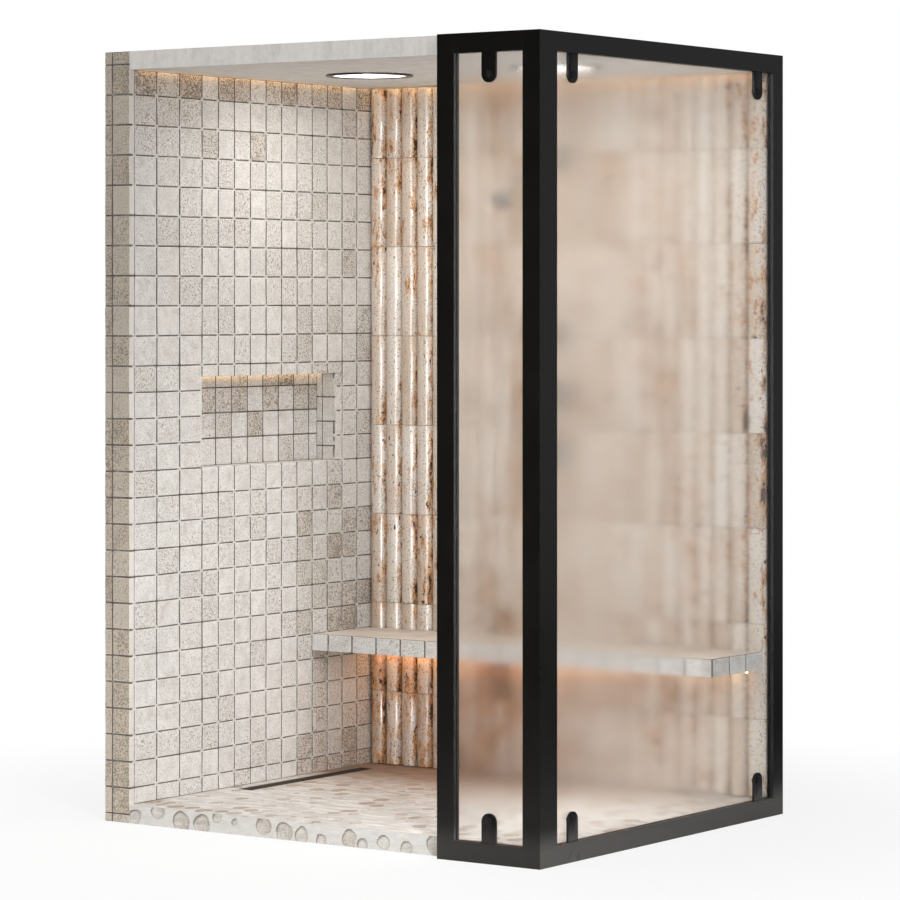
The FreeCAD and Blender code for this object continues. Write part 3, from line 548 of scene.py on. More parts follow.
# Tile mortar
# Dark grey cement mortar pressed between the tiles. It stands a little back from their faces,
# with pale crumbs where the trowel dragged lime over it.
def blocks(name, corners, material):
    """Several rectangular fills, each given by its two corners, in one mesh."""
    points = []
    faces = []
    for low, high in corners:
        start = len(points)
        points += [
            (x, y, z) for x in (low[0], high[0]) for y in (low[1], high[1])
            for z in (low[2], high[2])]
        for side in (
                (0, 1, 3, 2), (4, 6, 7, 5), (0, 4, 5, 1), (2, 3, 7, 6), (0, 2, 6, 4), (1, 5, 7, 3)):
            faces.append(tuple(start + corner for corner in side))
    return mesh_piece(name, points, faces, material)


mortar = Finish("joint mortar")
mortar_place = mortar.place()
mortar_crumb = mortar.noise(mortar_place, 150.0, 4.0, 0.7)
mortar_patch = mortar.noise(mortar_place, 9.0, 2.0)
mortar_tone = mortar.ramp(
    mortar_crumb * 0.6 + mortar_patch * 0.4,
    (0.40, (0.085, 0.067, 0.052)), (0.53, (0.18, 0.15, 0.12)), (0.63, (0.46, 0.43, 0.39)))
mortar.surface(
    Base_Color=mortar_tone, Roughness=0.9, Normal=mortar.bump(mortar_crumb, 0.0015, 0.8))
mortar_back = 0.0045
mortar_x = wall_high.x - mortar_back
wall_mortar = blocks("left_wall_mortar", [
    ((wall_low.x, wall_low.y, wall_low.z), (mortar_x, niche_y[0], wall_high.z)),
    ((wall_low.x, niche_y[1], wall_low.z), (mortar_x, wall_high.y, wall_high.z)),
    ((wall_low.x, niche_y[0], wall_low.z), (mortar_x, niche_y[1], niche_z[0])),
    ((wall_low.x, niche_y[0], niche_z[1]), (mortar_x, niche_y[1], wall_high.z)),
    ((end_low.x, end_low.y + mortar_back, end_low.z), (mortar_x, end_high.y, end_high.z))],
    mortar.material)
lime = Finish("pale lime dab")
lime_crumb = lime.noise(lime.place(), 260.0, 3.0, 0.6)
lime.surface(
    Base_Color=lime.ramp(lime_crumb, (0.35, (0.46, 0.44, 0.41)), (0.6, (0.74, 0.72, 0.69))),
    Roughness=0.85, Normal=lime.bump(lime_crumb, 0.001, 0.5))
lime_dabs = []
lime_margin = 0.01
lime_ends = 0.02
lime_share = 0.85
lime_least = 0.012
lime_spread = 0.006
lime_sunk = 0.0014
for y in column_joints:
    for z in row_joints:
        in_niche = (niche_y[0] - lime_margin < y < niche_y[1] + lime_margin
                    and niche_z[0] - lime_margin < z < niche_z[1] + lime_margin)
        in_sight = wall_low.z + lime_ends < z < wall_high.z - lime_ends and not in_niche
        if in_sight and tile_chance.random() < lime_share:
            reach = lime_least + lime_spread * tile_chance.random()
            size = (tile_depth - lime_sunk, reach, reach * 0.75)
            lime_dabs.append(((wall_low.x, y, z), size, (0, 0, 0), 0.0))
lime_set = scatter(
    "left_wall_lime", tile_tree, lime_dabs, tilt=0.03, wear=0.0012, seed=17, material=lime.material)
tiled(wall_mortar, lime_set)


# Niche
# The same tiles line the back and the four reveals of a long pocket. A light line in its top
# rear edge washes the top row.
reveal_low, reveal_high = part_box("niche_reveal_strips")
niche_tiles = []
niche_tone = (0.30, 0.40, 0.62, 0.65)
niche_rows = [niche_z[0] + 0.005 + row_pitch * row for row in range(1, 4)]
reveal_rows = [z - row_pitch / 2 for z in niche_rows]
niche_columns = [niche_y[0] + column_pitch * column for column in range(1, 9)]
light_room = 0.03
light_slot = 0.017
reveal_split = reveal_low.x + 0.032
for y0, y1 in spans(niche_columns, *niche_y, tile_joint):
    for number, (z0, z1) in enumerate(spans(niche_rows, *niche_z, row_joint)):
        place = (niche_low.x, (y0 + y1) / 2, (z0 + z1) / 2)
        size = (tile_depth, y1 - y0, z1 - z0)
        niche_tiles.append((place, size, (0, 0, 0), drawn_tone(niche_tone[number])))


def reveal_tile(place, width, height, turn):
    """One pale tile on a reveal, turned to face into the niche."""
    tone = tile_chance.random() * 0.4
    niche_tiles.append((place, (tile_depth, width, height), turn, tone))


for x0, x1 in (
        (reveal_low.x + tile_depth, reveal_split - 0.001),
        (reveal_split + 0.001, wall_high.x - 0.001)):
    x = (x0 + x1) / 2
    for z0, z1 in spans(reveal_rows, *niche_z, row_joint):
        z = (z0 + z1) / 2
        reveal_tile((x, niche_y[1] + tile_depth, z), x1 - x0, z1 - z0, (0, 0, -quarter_turn))
        reveal_tile((x, niche_y[0] - tile_depth, z), x1 - x0, z1 - z0, (0, 0, quarter_turn))
    for y0, y1 in spans(niche_columns, *niche_y, tile_joint):
        y = (y0 + y1) / 2
        reveal_tile((x, y, niche_z[0] - tile_depth), y1 - y0, x1 - x0, (0, -quarter_turn, 0))
        if x0 > reveal_low.x + light_room:
            reveal_tile((x, y, niche_z[1] + tile_depth), y1 - y0, x1 - x0, (0, quarter_turn, 0))
niche_facing = scatter(
    "niche_tiling", tile_tree, niche_tiles, tilt=0.008, wear=0.0016, seed=7,
    material=limestone.material)
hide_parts("niche_back_tile_sheets", "niche_reveal_strips")
niche_foot = niche_z[0] - tile_depth
niche_ends = (niche_y[0] - tile_depth, niche_y[1] + tile_depth)
niche_mortar = blocks("niche_mortar", [
    ((niche_low.x, niche_y[0], niche_z[0]), (niche_high.x - mortar_back, niche_y[1], niche_z[1])),
    ((reveal_low.x, niche_ends[0], niche_foot),
     (wall_low.x, niche_ends[1], niche_z[0] - mortar_back)),
    ((reveal_low.x, niche_y[1] + mortar_back, niche_z[0]), (wall_low.x, niche_ends[1], niche_z[1])),
    ((reveal_low.x, niche_ends[0], niche_z[0]), (wall_low.x, niche_y[0] - mortar_back, niche_z[1])),
    ((niche_high.x + light_slot, niche_ends[0], niche_z[1] + mortar_back),
     (wall_low.x, niche_ends[1], niche_z[1] + tile_depth))], mortar.material)
tiled(niche_facing, niche_mortar)


# Travertine wall
# Half-round mouldings of unfilled travertine, 300 mm long and bonded in straight courses, with
# open pores, rust along the seams and hairline butt joints.
stone_low, stone_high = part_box("travertine_mouldings")
flute_pitch = 0.064
flute_count = round((stone_high.x - stone_low.x) / flute_pitch)
flute_base = 0.010
flute_rise = stone_high.y - stone_low.y - flute_base
course_joint = 0.0008
course_height = 0.300
course_start = 0.306


def moulding_blank():
    """One moulding of unit width and height with its true depth, the round side towards -Y."""
    steps = 16
    rings = []
    for height, inset in ((0.0, 0.0012), (0.006, 0.0), (0.5, 0.0), (0.994, 0.0), (1.0, 0.0012)):
        half = 0.5 - inset * 12
        outline = [(-half, 0.0)]
        chord = 0.0315
        radius = (chord ** 2 + flute_rise ** 2) / (2 * flute_rise)
        reach = math.asin(chord / radius)
        for step in range(steps + 1):
            angle = -reach + 2 * reach * step / steps
            depth = radius * math.cos(angle) - (radius - flute_rise)
            outline.append((half * math.sin(angle) * radius / chord, -flute_base - depth + inset))
        outline.append((half, 0.0))
        rings.append([(x, y, height) for x, y in outline])
    blank = lofted("moulding_blank", rings)
    for face in blank.data.polygons:
        face.use_smooth = len(face.vertices) == 4 and abs(face.normal.y) < 0.999
    return blank


travertine = Finish("unfilled travertine")
stone_tone = travertine.node("Attribute", {"attribute_name": "tone"}, {}, "Fac")
stone_jump = travertine.node(
    "CombineXYZ", {}, {"X": stone_tone * 9.0, "Y": stone_tone * 5.0, "Z": stone_tone * 17.0})
stone_place = travertine.place(shift=stone_jump)
stone_long = travertine.place((1.0, 1.0, 0.16), stone_jump)
stone_vein = travertine.noise(stone_long, 26.0, 4.0, 0.6)
stone_cloud = travertine.noise(stone_long, 9.0, 3.0, 0.6)
stone_grain = travertine.noise(stone_place, 300.0, 3.0, 0.6)
stone_blotch = travertine.noise(travertine.place((1.0, 1.0, 0.5), stone_jump), 60.0, 4.0, 0.65)
stone_colour = travertine.ramp(
    stone_vein * 0.3 + stone_cloud * 0.3 + (stone_tone - 0.25) * 0.24 + stone_blotch * 0.2,
    (0.28, (0.78, 0.73, 0.67)), (0.45, (0.72, 0.63, 0.545)), (0.56, (0.62, 0.505, 0.405)),
    (0.70, (0.47, 0.345, 0.25)))
stone_x = travertine.axis("X") - stone_low.x
stone_cell = stone_x.maths("PINGPONG", stone_x, flute_pitch / 2) / (flute_pitch / 2)
stone_seam = (0.55 - stone_cell).to(0.0, 0.5)
stone_spot = travertine.place((1.0, 1.0, 0.34), stone_jump)
stone_field = travertine.noise(stone_spot, 34.0, 5.0, 0.74)
stone_rich = travertine.noise(travertine.place((1.0, 1.0, 0.25)), 4.5, 2.0, 0.5)
# Extra rust and dark pores low on the left, under the bench, fading out to the right: painted shade
# and warm glow under the bench, drawn into the stone's colour.
stone_under_bench_shade = (1.0 - travertine.axis("Z").to(0.32, 0.50)) * (1.0 - stone_x.to(0.47, 1.05))
stone_heat = stone_field + stone_seam * 0.09 + (stone_rich - 0.5) * 0.40 + (stone_tone - 0.5) * 0.07
stone_heat = stone_heat + (0.07 - stone_x).to(0.0, 0.07) * 0.07 + stone_under_bench_shade * 0.088
stone_rust = stone_heat.to(0.56, 0.665)
stone_core = (stone_heat - stone_under_bench_shade * 0.045).to(0.690, 0.722)
stone_rust_colour = travertine.ramp(
    stone_grain * 0.3 + stone_blotch * 0.7,
    (0.36, (0.33, 0.115, 0.028)), (0.5, (0.60, 0.265, 0.07)), (0.64, (0.78, 0.50, 0.23)))
stone_colour = travertine.mix(stone_rust * 0.88, stone_colour, stone_rust_colour)
stone_fine = travertine.noise(travertine.place((1.0, 1.0, 0.7), stone_jump), 230.0, 2.0, 0.5)
stone_dots = (0.385 + stone_rust * 0.05 + stone_seam * 0.03 - stone_fine).to(0.0, 0.03)
stone_colour = travertine.mix(stone_dots * 0.72, stone_colour, (0.13, 0.07, 0.035))
stone_void = travertine.noise(travertine.place((1.0, 1.0, 0.55), stone_jump), 62.0, 3.0, 0.5)
stone_pores = (0.276 + stone_rich * 0.06 + stone_rust * 0.05 - stone_void).to(0.0, 0.015)
stone_freckle = (stone_grain - 0.58).to(0.0, 0.06)
stone_colour = travertine.mix(stone_freckle * 0.35, stone_colour, (0.34, 0.20, 0.12))
stone_pores = stone_pores.maths("MAXIMUM", stone_pores, stone_core)
stone_colour = travertine.mix(stone_pores * 0.94, stone_colour, (0.030, 0.013, 0.006))
travertine.surface(
    Base_Color=stone_colour, Roughness=0.26 + stone_grain * 0.14 + stone_pores * 0.5,
    Coat_Weight=0.8 - stone_pores * 0.8, Coat_Roughness=0.11,
    Normal=travertine.bump(stone_grain * 0.05 + stone_vein * 0.12 - stone_pores, 0.003, 0.6))

stone_chance = random.Random(23)
stone_courses = [stone_low.z] + [course_start + course_height * course for course in range(7)]
stone_courses.append(stone_high.z)
stone_pieces = []
for column in range(flute_count):
    x = stone_low.x + flute_pitch * (column + 0.5) - course_joint / 2
    for z0, z1 in zip(stone_courses, stone_courses[1:]):
        size = (flute_pitch - course_joint, 1.0, z1 - z0 - course_joint)
        stone_pieces.append(((x, stone_high.y, z0), size, (0, 0, 0), stone_chance.random()))
moulding_tree = scatter_tree("moulding setting", moulding_blank(), 5.0)
stone_wall = scatter(
    "travertine_wall", moulding_tree, stone_pieces, tilt=0.0, wear=0.0004, seed=1,
    material=travertine.material)
saw_reach = 0.018
saw_over = 0.01
stone_cuts = []
for name in ("stop_handle", "mixer_handle", "flow_handle"):
    low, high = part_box(name)
    x = (low.x + high.x) / 2
    z = low.z + (high.x - low.x) / 2
    stone_cuts.append((
        (x - saw_reach, stone_low.y - saw_over, z - saw_reach),
        (x + saw_reach, stone_high.y + saw_over, z + saw_reach)))
stone_cutter = blocks("stone_cutter", stone_cuts, travertine.material)
stone_saw = stone_wall.modifiers.new("saw", "BOOLEAN")
stone_saw.object = stone_cutter
stone_saw.operation = "DIFFERENCE"
applied(stone_wall)
bpy.data.objects.remove(stone_cutter)
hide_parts("travertine_mouldings")
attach(stone_wall, "cabin")


# Floor slab
# A cast slab of white mortar full of rounded pebbles and shell, ground to a rippled top. The
# sawn front edge shows the pebbles cut through.
floor_low, floor_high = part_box("floor_slab")
floor_finish = Finish("pebble and shell floor")
floor_place = floor_finish.place()
floor_ripple = floor_finish.noise(floor_finish.place((0.35, 1.0, 1.0)), 60.0, 3.0, 0.6)
floor_grit = floor_finish.noise(floor_place, 260.0, 3.0, 0.65)
floor_bend = floor_finish.noise(floor_place, 22.0, 2.0, 0.5, "Color")
floor_run = floor_finish.axis("X") + floor_finish.axis("Y")
floor_edge_place = floor_finish.node(
    "CombineXYZ", {}, {"X": floor_run, "Z": floor_finish.axis("Z")})


def pebbles(place, bend, scale, shift, least, spread, chance):
    """Pebbles cut through by one face: how deep the cut lies in each, and one chance number."""
    bent = floor_finish.node(
        "VectorMath", {"operation": "MULTIPLY_ADD"}, {0: floor_bend, 1: bend, 2: place})
    where = floor_finish.node("Mapping", {}, {"Vector": bent, "Scale": scale, "Location": shift})
    kind = {"feature": "F1", "voronoi_dimensions": "3D"}
    sockets = {"Vector": where, "Scale": 1.0, "Randomness": chance}
    distance = floor_finish.node("TexVoronoi", kind, sockets, "Distance")
    colour = floor_finish.node("TexVoronoi", kind, sockets, "Color")
    pick = floor_finish.node("SeparateColor", {}, {"Color": colour}, "Red")
    return pick * spread + least - distance, pick


edge_bend = (0.020, 0.0, 0.020)
edge_scale = (12.5, 0.0, 12.5)
edge_deep, edge_pick = pebbles(
    floor_edge_place, edge_bend, edge_scale, (0.0, 0.25, -0.20), 0.28, 0.18, 0.55)
# The same pebbles again, moved a little, leave a dark crescent inside each cut pebble: a painted
# shadow cast by its rim.
edge_above, _ = pebbles(
    floor_edge_place, edge_bend, edge_scale, (-0.055, 0.25, -0.135), 0.28, 0.18, 0.55)
edge_inside = edge_deep.to(0.0, 0.03)
pebble_cast_shadow = edge_inside * (1.0 - edge_above.to(-0.03, 0.05))
edge_rim = edge_inside * (1.0 - edge_deep.to(0.02, 0.07))
top_deep, top_pick = pebbles(
    floor_place, (0.016, 0.016, 0.0), (16.0, 13.0, 0.0), (0.0, 0.0, 0.25), 0.20, 0.24, 0.80)
top_inside = top_deep.to(0.0, 0.04)
top_rim = top_inside * (1.0 - top_deep.to(0.03, 0.10))
floor_stone = floor_finish.ramp(
    floor_grit * 0.6 + floor_ripple * 0.4,
    (0.38, (0.20, 0.16, 0.12)), (0.47, (0.46, 0.41, 0.35)), (0.60, (0.66, 0.61, 0.55)))
floor_lime = floor_finish.ramp(
    floor_grit * 0.5 + floor_ripple * 0.5,
    (0.34, (0.55, 0.53, 0.505)), (0.5, (0.65, 0.635, 0.615)), (0.66, (0.74, 0.73, 0.71)))
floor_edge = floor_lime
for share, colour in (
        (edge_inside * (0.35 + edge_pick * 0.5), floor_stone),
        (edge_rim * floor_grit.to(0.42, 0.56) * 0.55, (0.20, 0.16, 0.12)),
        (pebble_cast_shadow * floor_grit.to(0.36, 0.50) * 0.9, (0.115, 0.09, 0.068)),
        (0.14, (0.30, 0.275, 0.25))):
    floor_edge = floor_finish.mix(share, floor_edge, colour)
floor_shell = floor_finish.mix(top_pick.to(0.1, 1.0), (0.76, 0.705, 0.645), (0.36, 0.25, 0.175))
# Browner towards the back wall, in the streaks and all over: painted shade over the back of the
# floor.
floor_rear_shade = floor_finish.axis("Y").to(-0.45, 0.62)
# Dark brown at the back under the bench, fading out to the right: painted shadow and warm
# reflection under the bench.
floor_bench_shadow = floor_finish.axis("Y").to(0.10, 0.52) * (1.0 - floor_finish.axis("X").to(-0.20, 0.35))
floor_streak = floor_finish.noise(floor_finish.place((0.22, 1.0, 1.0)), 48.0, 3.0, 0.6)
floor_top = floor_lime
for share, colour in (
        (floor_streak.to(0.50, 0.62) * (0.28 + floor_rear_shade * 0.3), (0.48, 0.37, 0.28)),
        (floor_streak.to(0.48, 0.40) * 0.7, (0.86, 0.845, 0.82)),
        (top_inside * 0.8, floor_shell),
        (top_rim * floor_ripple.to(0.40, 0.55) * 0.7, (0.22, 0.15, 0.10)),
        (floor_rear_shade * 0.25, (0.52, 0.40, 0.30)),
        (floor_bench_shadow * 0.76, (0.23, 0.125, 0.066))):
    floor_top = floor_finish.mix(share, floor_top, colour)
floor_up = floor_finish.facing("Z").to(0.3, 0.7)
floor_colour = floor_finish.mix(floor_up, floor_edge, floor_top)
floor_side = edge_deep.to(0.0, 0.14) * (1.0 - floor_up) * 0.6
floor_height = floor_up * (top_inside * 0.5 + floor_ripple * 0.8) + floor_grit * 0.1 - floor_side
floor_finish.surface(
    Base_Color=floor_colour, Roughness=0.42 + floor_grit * 0.25,
    Normal=floor_finish.bump(floor_height, 0.006, 0.8))
clothe(floor_finish.material, "floor_stone", "floor_slab")


# Linear drain
# A folded stainless channel cast into the floor along the tiled wall, with a dark bronze grate
# that lifts out together with the strainer under it.
bronze = Finish("oiled bronze")
bronze_place = bronze.place()
bronze_patch = bronze.noise(bronze_place, 30.0, 4.0)
bronze_grain = bronze.noise(bronze.place((1.0, 0.1, 1.0)), 400.0, 2.0)
bronze.surface(
    Base_Color=bronze.ramp(
        bronze_patch, (0.35, (0.018, 0.012, 0.008)), (0.65, (0.045, 0.031, 0.022))),
    Metallic=0.5, Roughness=0.5 + bronze_grain * 0.2, Normal=bronze.bump(bronze_grain, 0.0003, 0.4))
clothe(bronze.material, "grate_bronze", "drain_grate")


def grained(name, stretch, size, detail, dark, pale, roughness, spread, **more):
    """A finish whose colour and roughness both follow one fine grain."""
    finish = Finish(name)
    grain = finish.noise(finish.place(stretch), size, detail)
    colour = finish.ramp(grain, (0.3, dark), (0.7, pale))
    finish.surface(Base_Color=colour, Roughness=roughness + grain * spread, **more)
    return finish.material


stainless = grained(
    "brushed stainless", (1.0, 0.03, 1.0), 900.0, 3.0, (0.42, 0.41, 0.40), (0.60, 0.59, 0.57),
    0.28, 0.2, Metallic=1.0)
clothe(stainless, "drain_steel", "drain_channel", "drain_strainer")


# Ceiling slab
# A lightweight slab faced with fine off-white mineral plaster, trowelled flat, with a cove left
# open along the tiled wall and the stone wall.
plaster = Finish("mineral plaster")
plaster_place = plaster.place()
plaster_drag = plaster.noise(plaster.place((1.0, 0.5, 0.25)), 26.0, 4.0, 0.6)
plaster_fleck = plaster.noise(plaster_place, 60.0, 3.0, 0.7)
plaster_grit = plaster.noise(plaster_place, 500.0, 2.0)
plaster_tone = plaster.ramp(
    plaster_drag * 0.6 + plaster_fleck * 0.4,
    (0.36, (0.67, 0.64, 0.612)), (0.5, (0.77, 0.742, 0.713)), (0.62, (0.82, 0.797, 0.77)))
plaster.surface(
    Base_Color=plaster_tone, Roughness=0.8 + plaster_grit * 0.15,
    Normal=plaster.bump(plaster_drag * 0.5 + plaster_grit * 0.3, 0.0012, 0.5))
clothe(plaster.material, "plaster", "ceiling_slab")


# Ceiling lights
# Flat round fittings held up by two springs: a lacquered ring round an opal disc, with a metal
# back box in the slab.
even = (1.0, 1.0, 1.0)
ring_metal = grained(
    "bronze lacquer", even, 120.0, 3.0, (0.075, 0.065, 0.058), (0.14, 0.125, 0.115),
    0.22, 0.12, Metallic=0.9)
opal = Finish("lit opal disc")
opal_cloud = opal.noise(opal.place(), 8.0, 2.0)
opal_glow = opal.ramp(opal_cloud, (0.3, (1.0, 0.97, 0.93)), (0.7, (1.0, 0.985, 0.96)))
opal.surface(
    Base_Color=(0.9, 0.9, 0.88), Roughness=0.5, Emission_Color=opal_glow, Emission_Strength=2.2)
mill = grained(
    "mill aluminium", (0.05, 1.0, 1.0), 700.0, 2.0, (0.62, 0.62, 0.62), (0.76, 0.76, 0.76),
    0.32, 0.15, Metallic=1.0)


def softened(node, width, material, body):
    """A copy of a CAD node with its sharp edges eased, in place of the node."""
    piece = bpy.data.objects.new(node + "_eased", nodes[node].data.copy())
    bpy.context.scene.collection.objects.link(piece)
    shape = bmesh.new()
    shape.from_mesh(piece.data)
    bmesh.ops.remove_doubles(shape, verts=shape.verts, dist=0.00001)
    bmesh.ops.dissolve_limit(
        shape, angle_limit=math.radians(2), verts=shape.verts, edges=shape.edges)
    shape.to_mesh(piece.data)
    shape.free()
    piece.data.materials.clear()
    piece.data.materials.append(material)
    edge = piece.modifiers.new("eased edge", "BEVEL")
    edge.width = width
    edge.segments = 2
    edge.limit_method = "ANGLE"
    edge.angle_limit = math.radians(35)
    edge.harden_normals = True
    for face in piece.data.polygons:
        face.use_smooth = True
    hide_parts(node)
    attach(piece, body)
    return piece


softened("downlight_bezels", 0.0015, ring_metal, "cabin")
clothe(opal.material, "light_cover", "downlight_lenses")
clothe(mill, "cleat_metal", "downlight_back_boxes", "downlight_springs", "light_driver",
       "frame_corner_cleats")
lens_low, lens_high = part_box("downlight_lenses")
lens_width = lens_high.y - lens_low.y
lens_y = (lens_low.y + lens_high.y) / 2
for number, x in enumerate((lens_low.x + lens_width / 2, lens_high.x - lens_width / 2)):
    lamp = soft_light(
        "ceiling lamp %d" % number, (x, lens_y, lens_low.z - 0.004), (x, lens_y, 0.0),
        lens_width, lens_width, 3.6, (1.0, 0.97, 0.92), no_shine)
    lamp.data.shape = "DISK"


# Light lines
# Warm light tape in an aluminium channel under a snap-in opal strip, in both coves, in the top
# rear edge of the niche and under the back of the bench.
warm = Finish("lit warm strip")
warm_spots = warm.noise(warm.place(), 60.0, 1.0)
warm_low = 1.0 - warm.axis("Z").to(0.6, 0.9)
warm_cove = warm.ramp(warm_spots, (0.3, (0.33, 0.197, 0.089)), (0.7, (0.35, 0.23, 0.115)))
warm_cove = warm.mix(warm.axis("Z").to(2.0, 1.6) * 0.45, warm_cove, (0.0, 0.0, 0.0))
warm_bench = warm.mix(warm.axis("X").to(-0.1, 0.5), (1.0, 0.45, 0.14), (0.50, 0.33, 0.19))
warm_glow = warm.mix(warm_low, warm_cove, warm_bench)
warm.surface(
    Base_Color=(0.9, 0.8, 0.65), Roughness=0.6, Emission_Color=warm_glow, Emission_Strength=17.5)
clothe(warm.material, "light_cover", "light_covers")
clothe(warm.material, "light_tape", "light_tapes")
clothe(mill, "light_channel", "side_cove_light_channel", "rear_cove_light_channel",
       "niche_light_channel", "bench_light_channel")


# Bench
# A board carcass on steel arms out of the back wall, topped with a smooth beige stone slab and
# edged with upright tiles whose outer corners are rounded.
bench_low, bench_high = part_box("bench_edge_tiles")
bench_end_low, bench_end_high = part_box("bench_end_tiles")
bench_stone = Finish("smooth beige stone")
bench_place = bench_stone.place()
bench_cloud = bench_stone.noise(bench_place, 7.0, 4.0, 0.6)
bench_fleck = bench_stone.noise(bench_place, 180.0, 3.0, 0.6)
bench_tone = bench_stone.ramp(
    bench_cloud * 0.65 + bench_fleck * 0.35,
    (0.34, (0.62, 0.52, 0.44)), (0.5, (0.76, 0.68, 0.60)), (0.64, (0.84, 0.79, 0.73)))
bench_stone.surface(
    Base_Color=bench_tone, Roughness=0.38 + bench_fleck * 0.2,
    Normal=bench_stone.bump(bench_fleck * 0.4 + bench_cloud, 0.0012, 0.5))
softened("bench_top", 0.002, bench_stone.material, "cabin")
bench_tiles = []
bench_pitch = 0.098
bench_gap = 0.002
x = bench_high.x
while x > bench_low.x + 0.02:
    x0 = max(x - bench_pitch, bench_low.x - bench_gap)
    x1 = x - bench_gap if x < bench_high.x else x
    size = (tile_depth, x1 - x0 - bench_gap, bench_high.z - bench_low.z)
    place = ((x0 + bench_gap + x1) / 2, bench_high.y, (bench_low.z + bench_high.z) / 2)
    bench_tiles.append((place, size, (0, 0, -quarter_turn), tile_chance.random() * 0.45))
    x -= bench_pitch
bench_end_count = 3
bench_step = (bench_end_high.y - bench_high.y) / bench_end_count
for number in range(bench_end_count):
    y0 = bench_high.y + bench_step * number + bench_gap
    y1 = bench_high.y + bench_step * (number + 1) - bench_gap
    size = (tile_depth, y1 - y0, bench_high.z - bench_low.z)
    place = (bench_end_low.x, (y0 + y1) / 2, (bench_low.z + bench_high.z) / 2)
    bench_tiles.append((place, size, (0, 0, 0), tile_chance.random() * 0.35))
bench_facing = scatter(
    "bench_edging", tile_tree, bench_tiles, tilt=0.006, wear=0.0018, seed=13,
    material=limestone.material)
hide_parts("bench_edge_tiles", "bench_end_tiles")
bench_mortar = blocks("bench_mortar", [
    ((bench_low.x, bench_low.y + mortar_back, bench_low.z + 0.001),
     (bench_end_low.x, bench_high.y, bench_high.z - 0.004)),
    ((bench_end_low.x, bench_high.y, bench_low.z + 0.001),
     (bench_end_high.x - mortar_back, bench_end_high.y, bench_high.z - 0.004))], mortar.material)
tiled(bench_facing, bench_mortar)
blackened = grained(
    "blackened steel", even, 90.0, 4.0, (0.030, 0.028, 0.026), (0.075, 0.070, 0.066),
    0.34, 0.2, Metallic=0.9)
clothe(blackened, "bolt_steel", "bench_arms")


# Window frames
# Rebated hollow steel bars, butted and screwed to corner cleats and powder coated near black,
# capped at both ends and packed off the slabs by strips.
coat = Finish("black powder coat")
coat_place = coat.place()
coat_peel = coat.noise(coat_place, 700.0, 2.0, 0.4)
coat_dust = coat.noise(coat_place, 5.0, 4.0, 0.6)
coat_black = coat.ramp(coat_dust, (0.3, (0.0034, 0.0030, 0.0026)), (0.7, (0.0062, 0.0056, 0.0050)))
# Paler near the floor, palest on faces turned towards +X: painted reflection of the white floor on
# the bottom rails and the feet of the stiles.
coat_floor_reflection = coat.mix(coat.facing("X").to(0.3, 0.7), (0.032, 0.030, 0.027), (0.12, 0.116, 0.108))
coat.surface(
    Base_Color=coat.mix(coat.axis("Z").to(0.12, 0.04) * 0.9, coat_black, coat_floor_reflection),
    Roughness=0.24 + coat_dust * 0.10, Specular_IOR_Level=0.29,
    Normal=coat.bump(coat_peel, 0.00025, 0.35))
for side in ("front_frame", "side_frame"):
    for bar in ("near_stile", "far_stile", "bottom_rail", "top_rail"):
        eased_bar = softened(side + "_" + bar, 0.00015, coat.material, "cabin")
        for face in eased_bar.data.polygons:
            face.use_smooth = False
clothe(coat.material, "frame_black", "frame_end_caps", "frame_packers")
rubber = grained(
    "black rubber", even, 60.0, 3.0, (0.012, 0.012, 0.012), (0.03, 0.03, 0.03), 0.7, 0.2)
clothe(rubber, "seal_rubber", "front_frame_glazing_seal", "side_frame_glazing_seal", "clip_pads")


# Glass
# Toughened panes, 8 mm thick, acid-etched to a fine satin so that what stands close behind them
# stays sharp and the rest melts.
satin = grained(
    "satin glass", even, 12.0, 2.0, (0.955, 0.95, 0.94), (0.97, 0.965, 0.955),
    0.115, 0.02, Transmission_Weight=1.0, IOR=1.45)
clothe(satin, "frosted_glass", "front_frame_glass", "side_frame_glass")


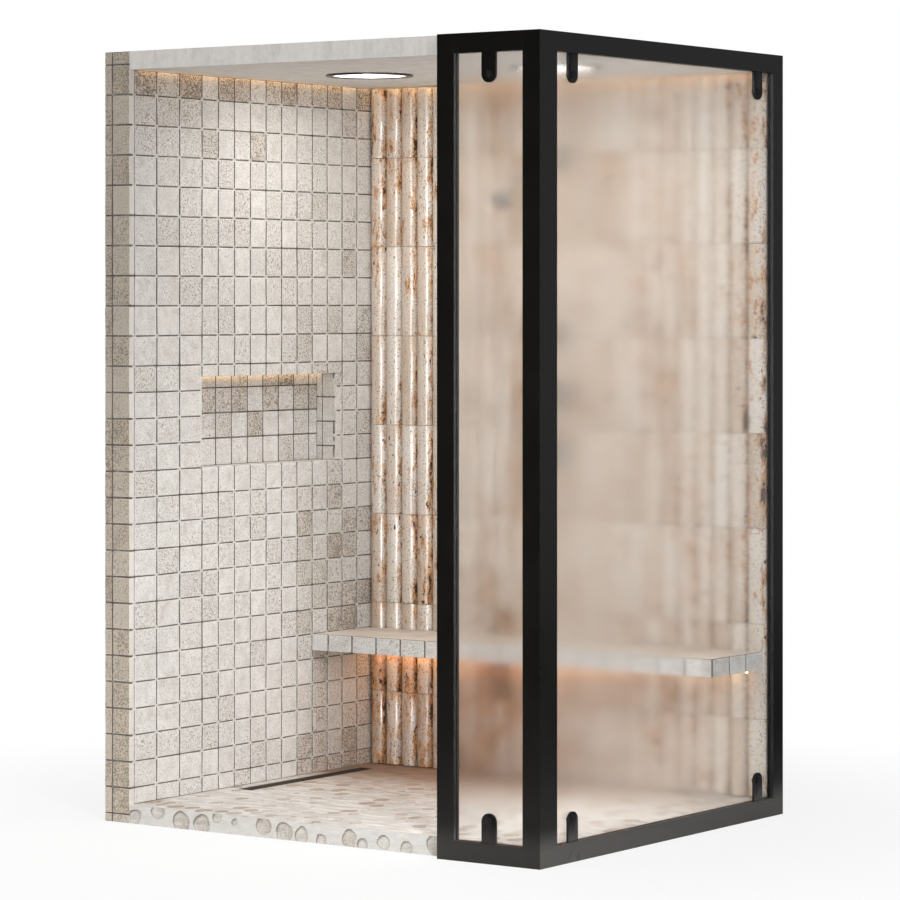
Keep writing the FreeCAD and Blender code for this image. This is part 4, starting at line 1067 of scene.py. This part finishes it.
# Glass clips
# Round-ended flat clips, tongued into the rails and bolted through the panes with round-headed
# square-necked bolts.
softened("glass_clips", 0.0012, coat.material, "cabin")
bolt_black = grained(
    "oxide black bolts", even, 300.0, 3.0, (0.006, 0.006, 0.006), (0.014, 0.013, 0.012),
    0.36, 0.15, Specular_IOR_Level=0.25)
softened("clip_bolts", 0.0006, bolt_black, "cabin")
clothe(bolt_black, "bolt_steel", "clip_nuts")


# Shower set
# Concealed brass valves with square wall plates and round handles, a bent arm and a drum head
# on a ball joint, all lacquered a warm grey. Copper pipes feed them in the chase behind the wall.
lacquer = grained(
    "warm grey lacquer", (1.0, 1.0, 0.15), 260.0, 3.0, (0.30, 0.27, 0.235), (0.38, 0.345, 0.305),
    0.30, 0.14)
for name, body in (
        ("wall_rosettes", "cabin"), ("stop_handle", "stop_handle_body"),
        ("mixer_handle", "mixer_handle_body"), ("flow_handle", "flow_handle_body"),
        ("shower_head", "shower_head_body")):
    softened(name, 0.0012, lacquer, body)
clothe(lacquer, "fitting_black", "shower_arm")
silicone = Finish("grey silicone nozzles")
silicone_cells = {"feature": "F1", "voronoi_dimensions": "3D"}
silicone_dots = silicone.node(
    "TexVoronoi", silicone_cells, {"Vector": silicone.place(), "Scale": 140.0}, "Distance")
silicone.surface(
    Base_Color=silicone.ramp(silicone_dots, (0.2, (0.20, 0.19, 0.18)), (0.5, (0.34, 0.325, 0.305))),
    Roughness=0.6 + silicone_dots * 0.1, Normal=silicone.bump(silicone_dots, 0.001, 0.5))
clothe(silicone.material, "spray_rubber", "spray_plate")
brass = Finish("cast brass")
brass_skin = brass.noise(brass.place(), 160.0, 4.0)
brass.surface(
    Base_Color=brass.ramp(brass_skin, (0.3, (0.55, 0.38, 0.16)), (0.7, (0.72, 0.53, 0.26))),
    Metallic=1.0, Roughness=0.38 + brass_skin * 0.2, Normal=brass.bump(brass_skin, 0.0006, 0.4))
clothe(brass.material, "valve_brass", "valve_bodies")
copper = grained(
    "copper tube", (1.0, 1.0, 0.2), 60.0, 4.0, (0.45, 0.20, 0.11), (0.72, 0.38, 0.24),
    0.30, 0.2, Metallic=1.0)
clothe(copper, "pipe_copper", "hot_supply_pipe", "cold_supply_pipe", "riser_pipes")
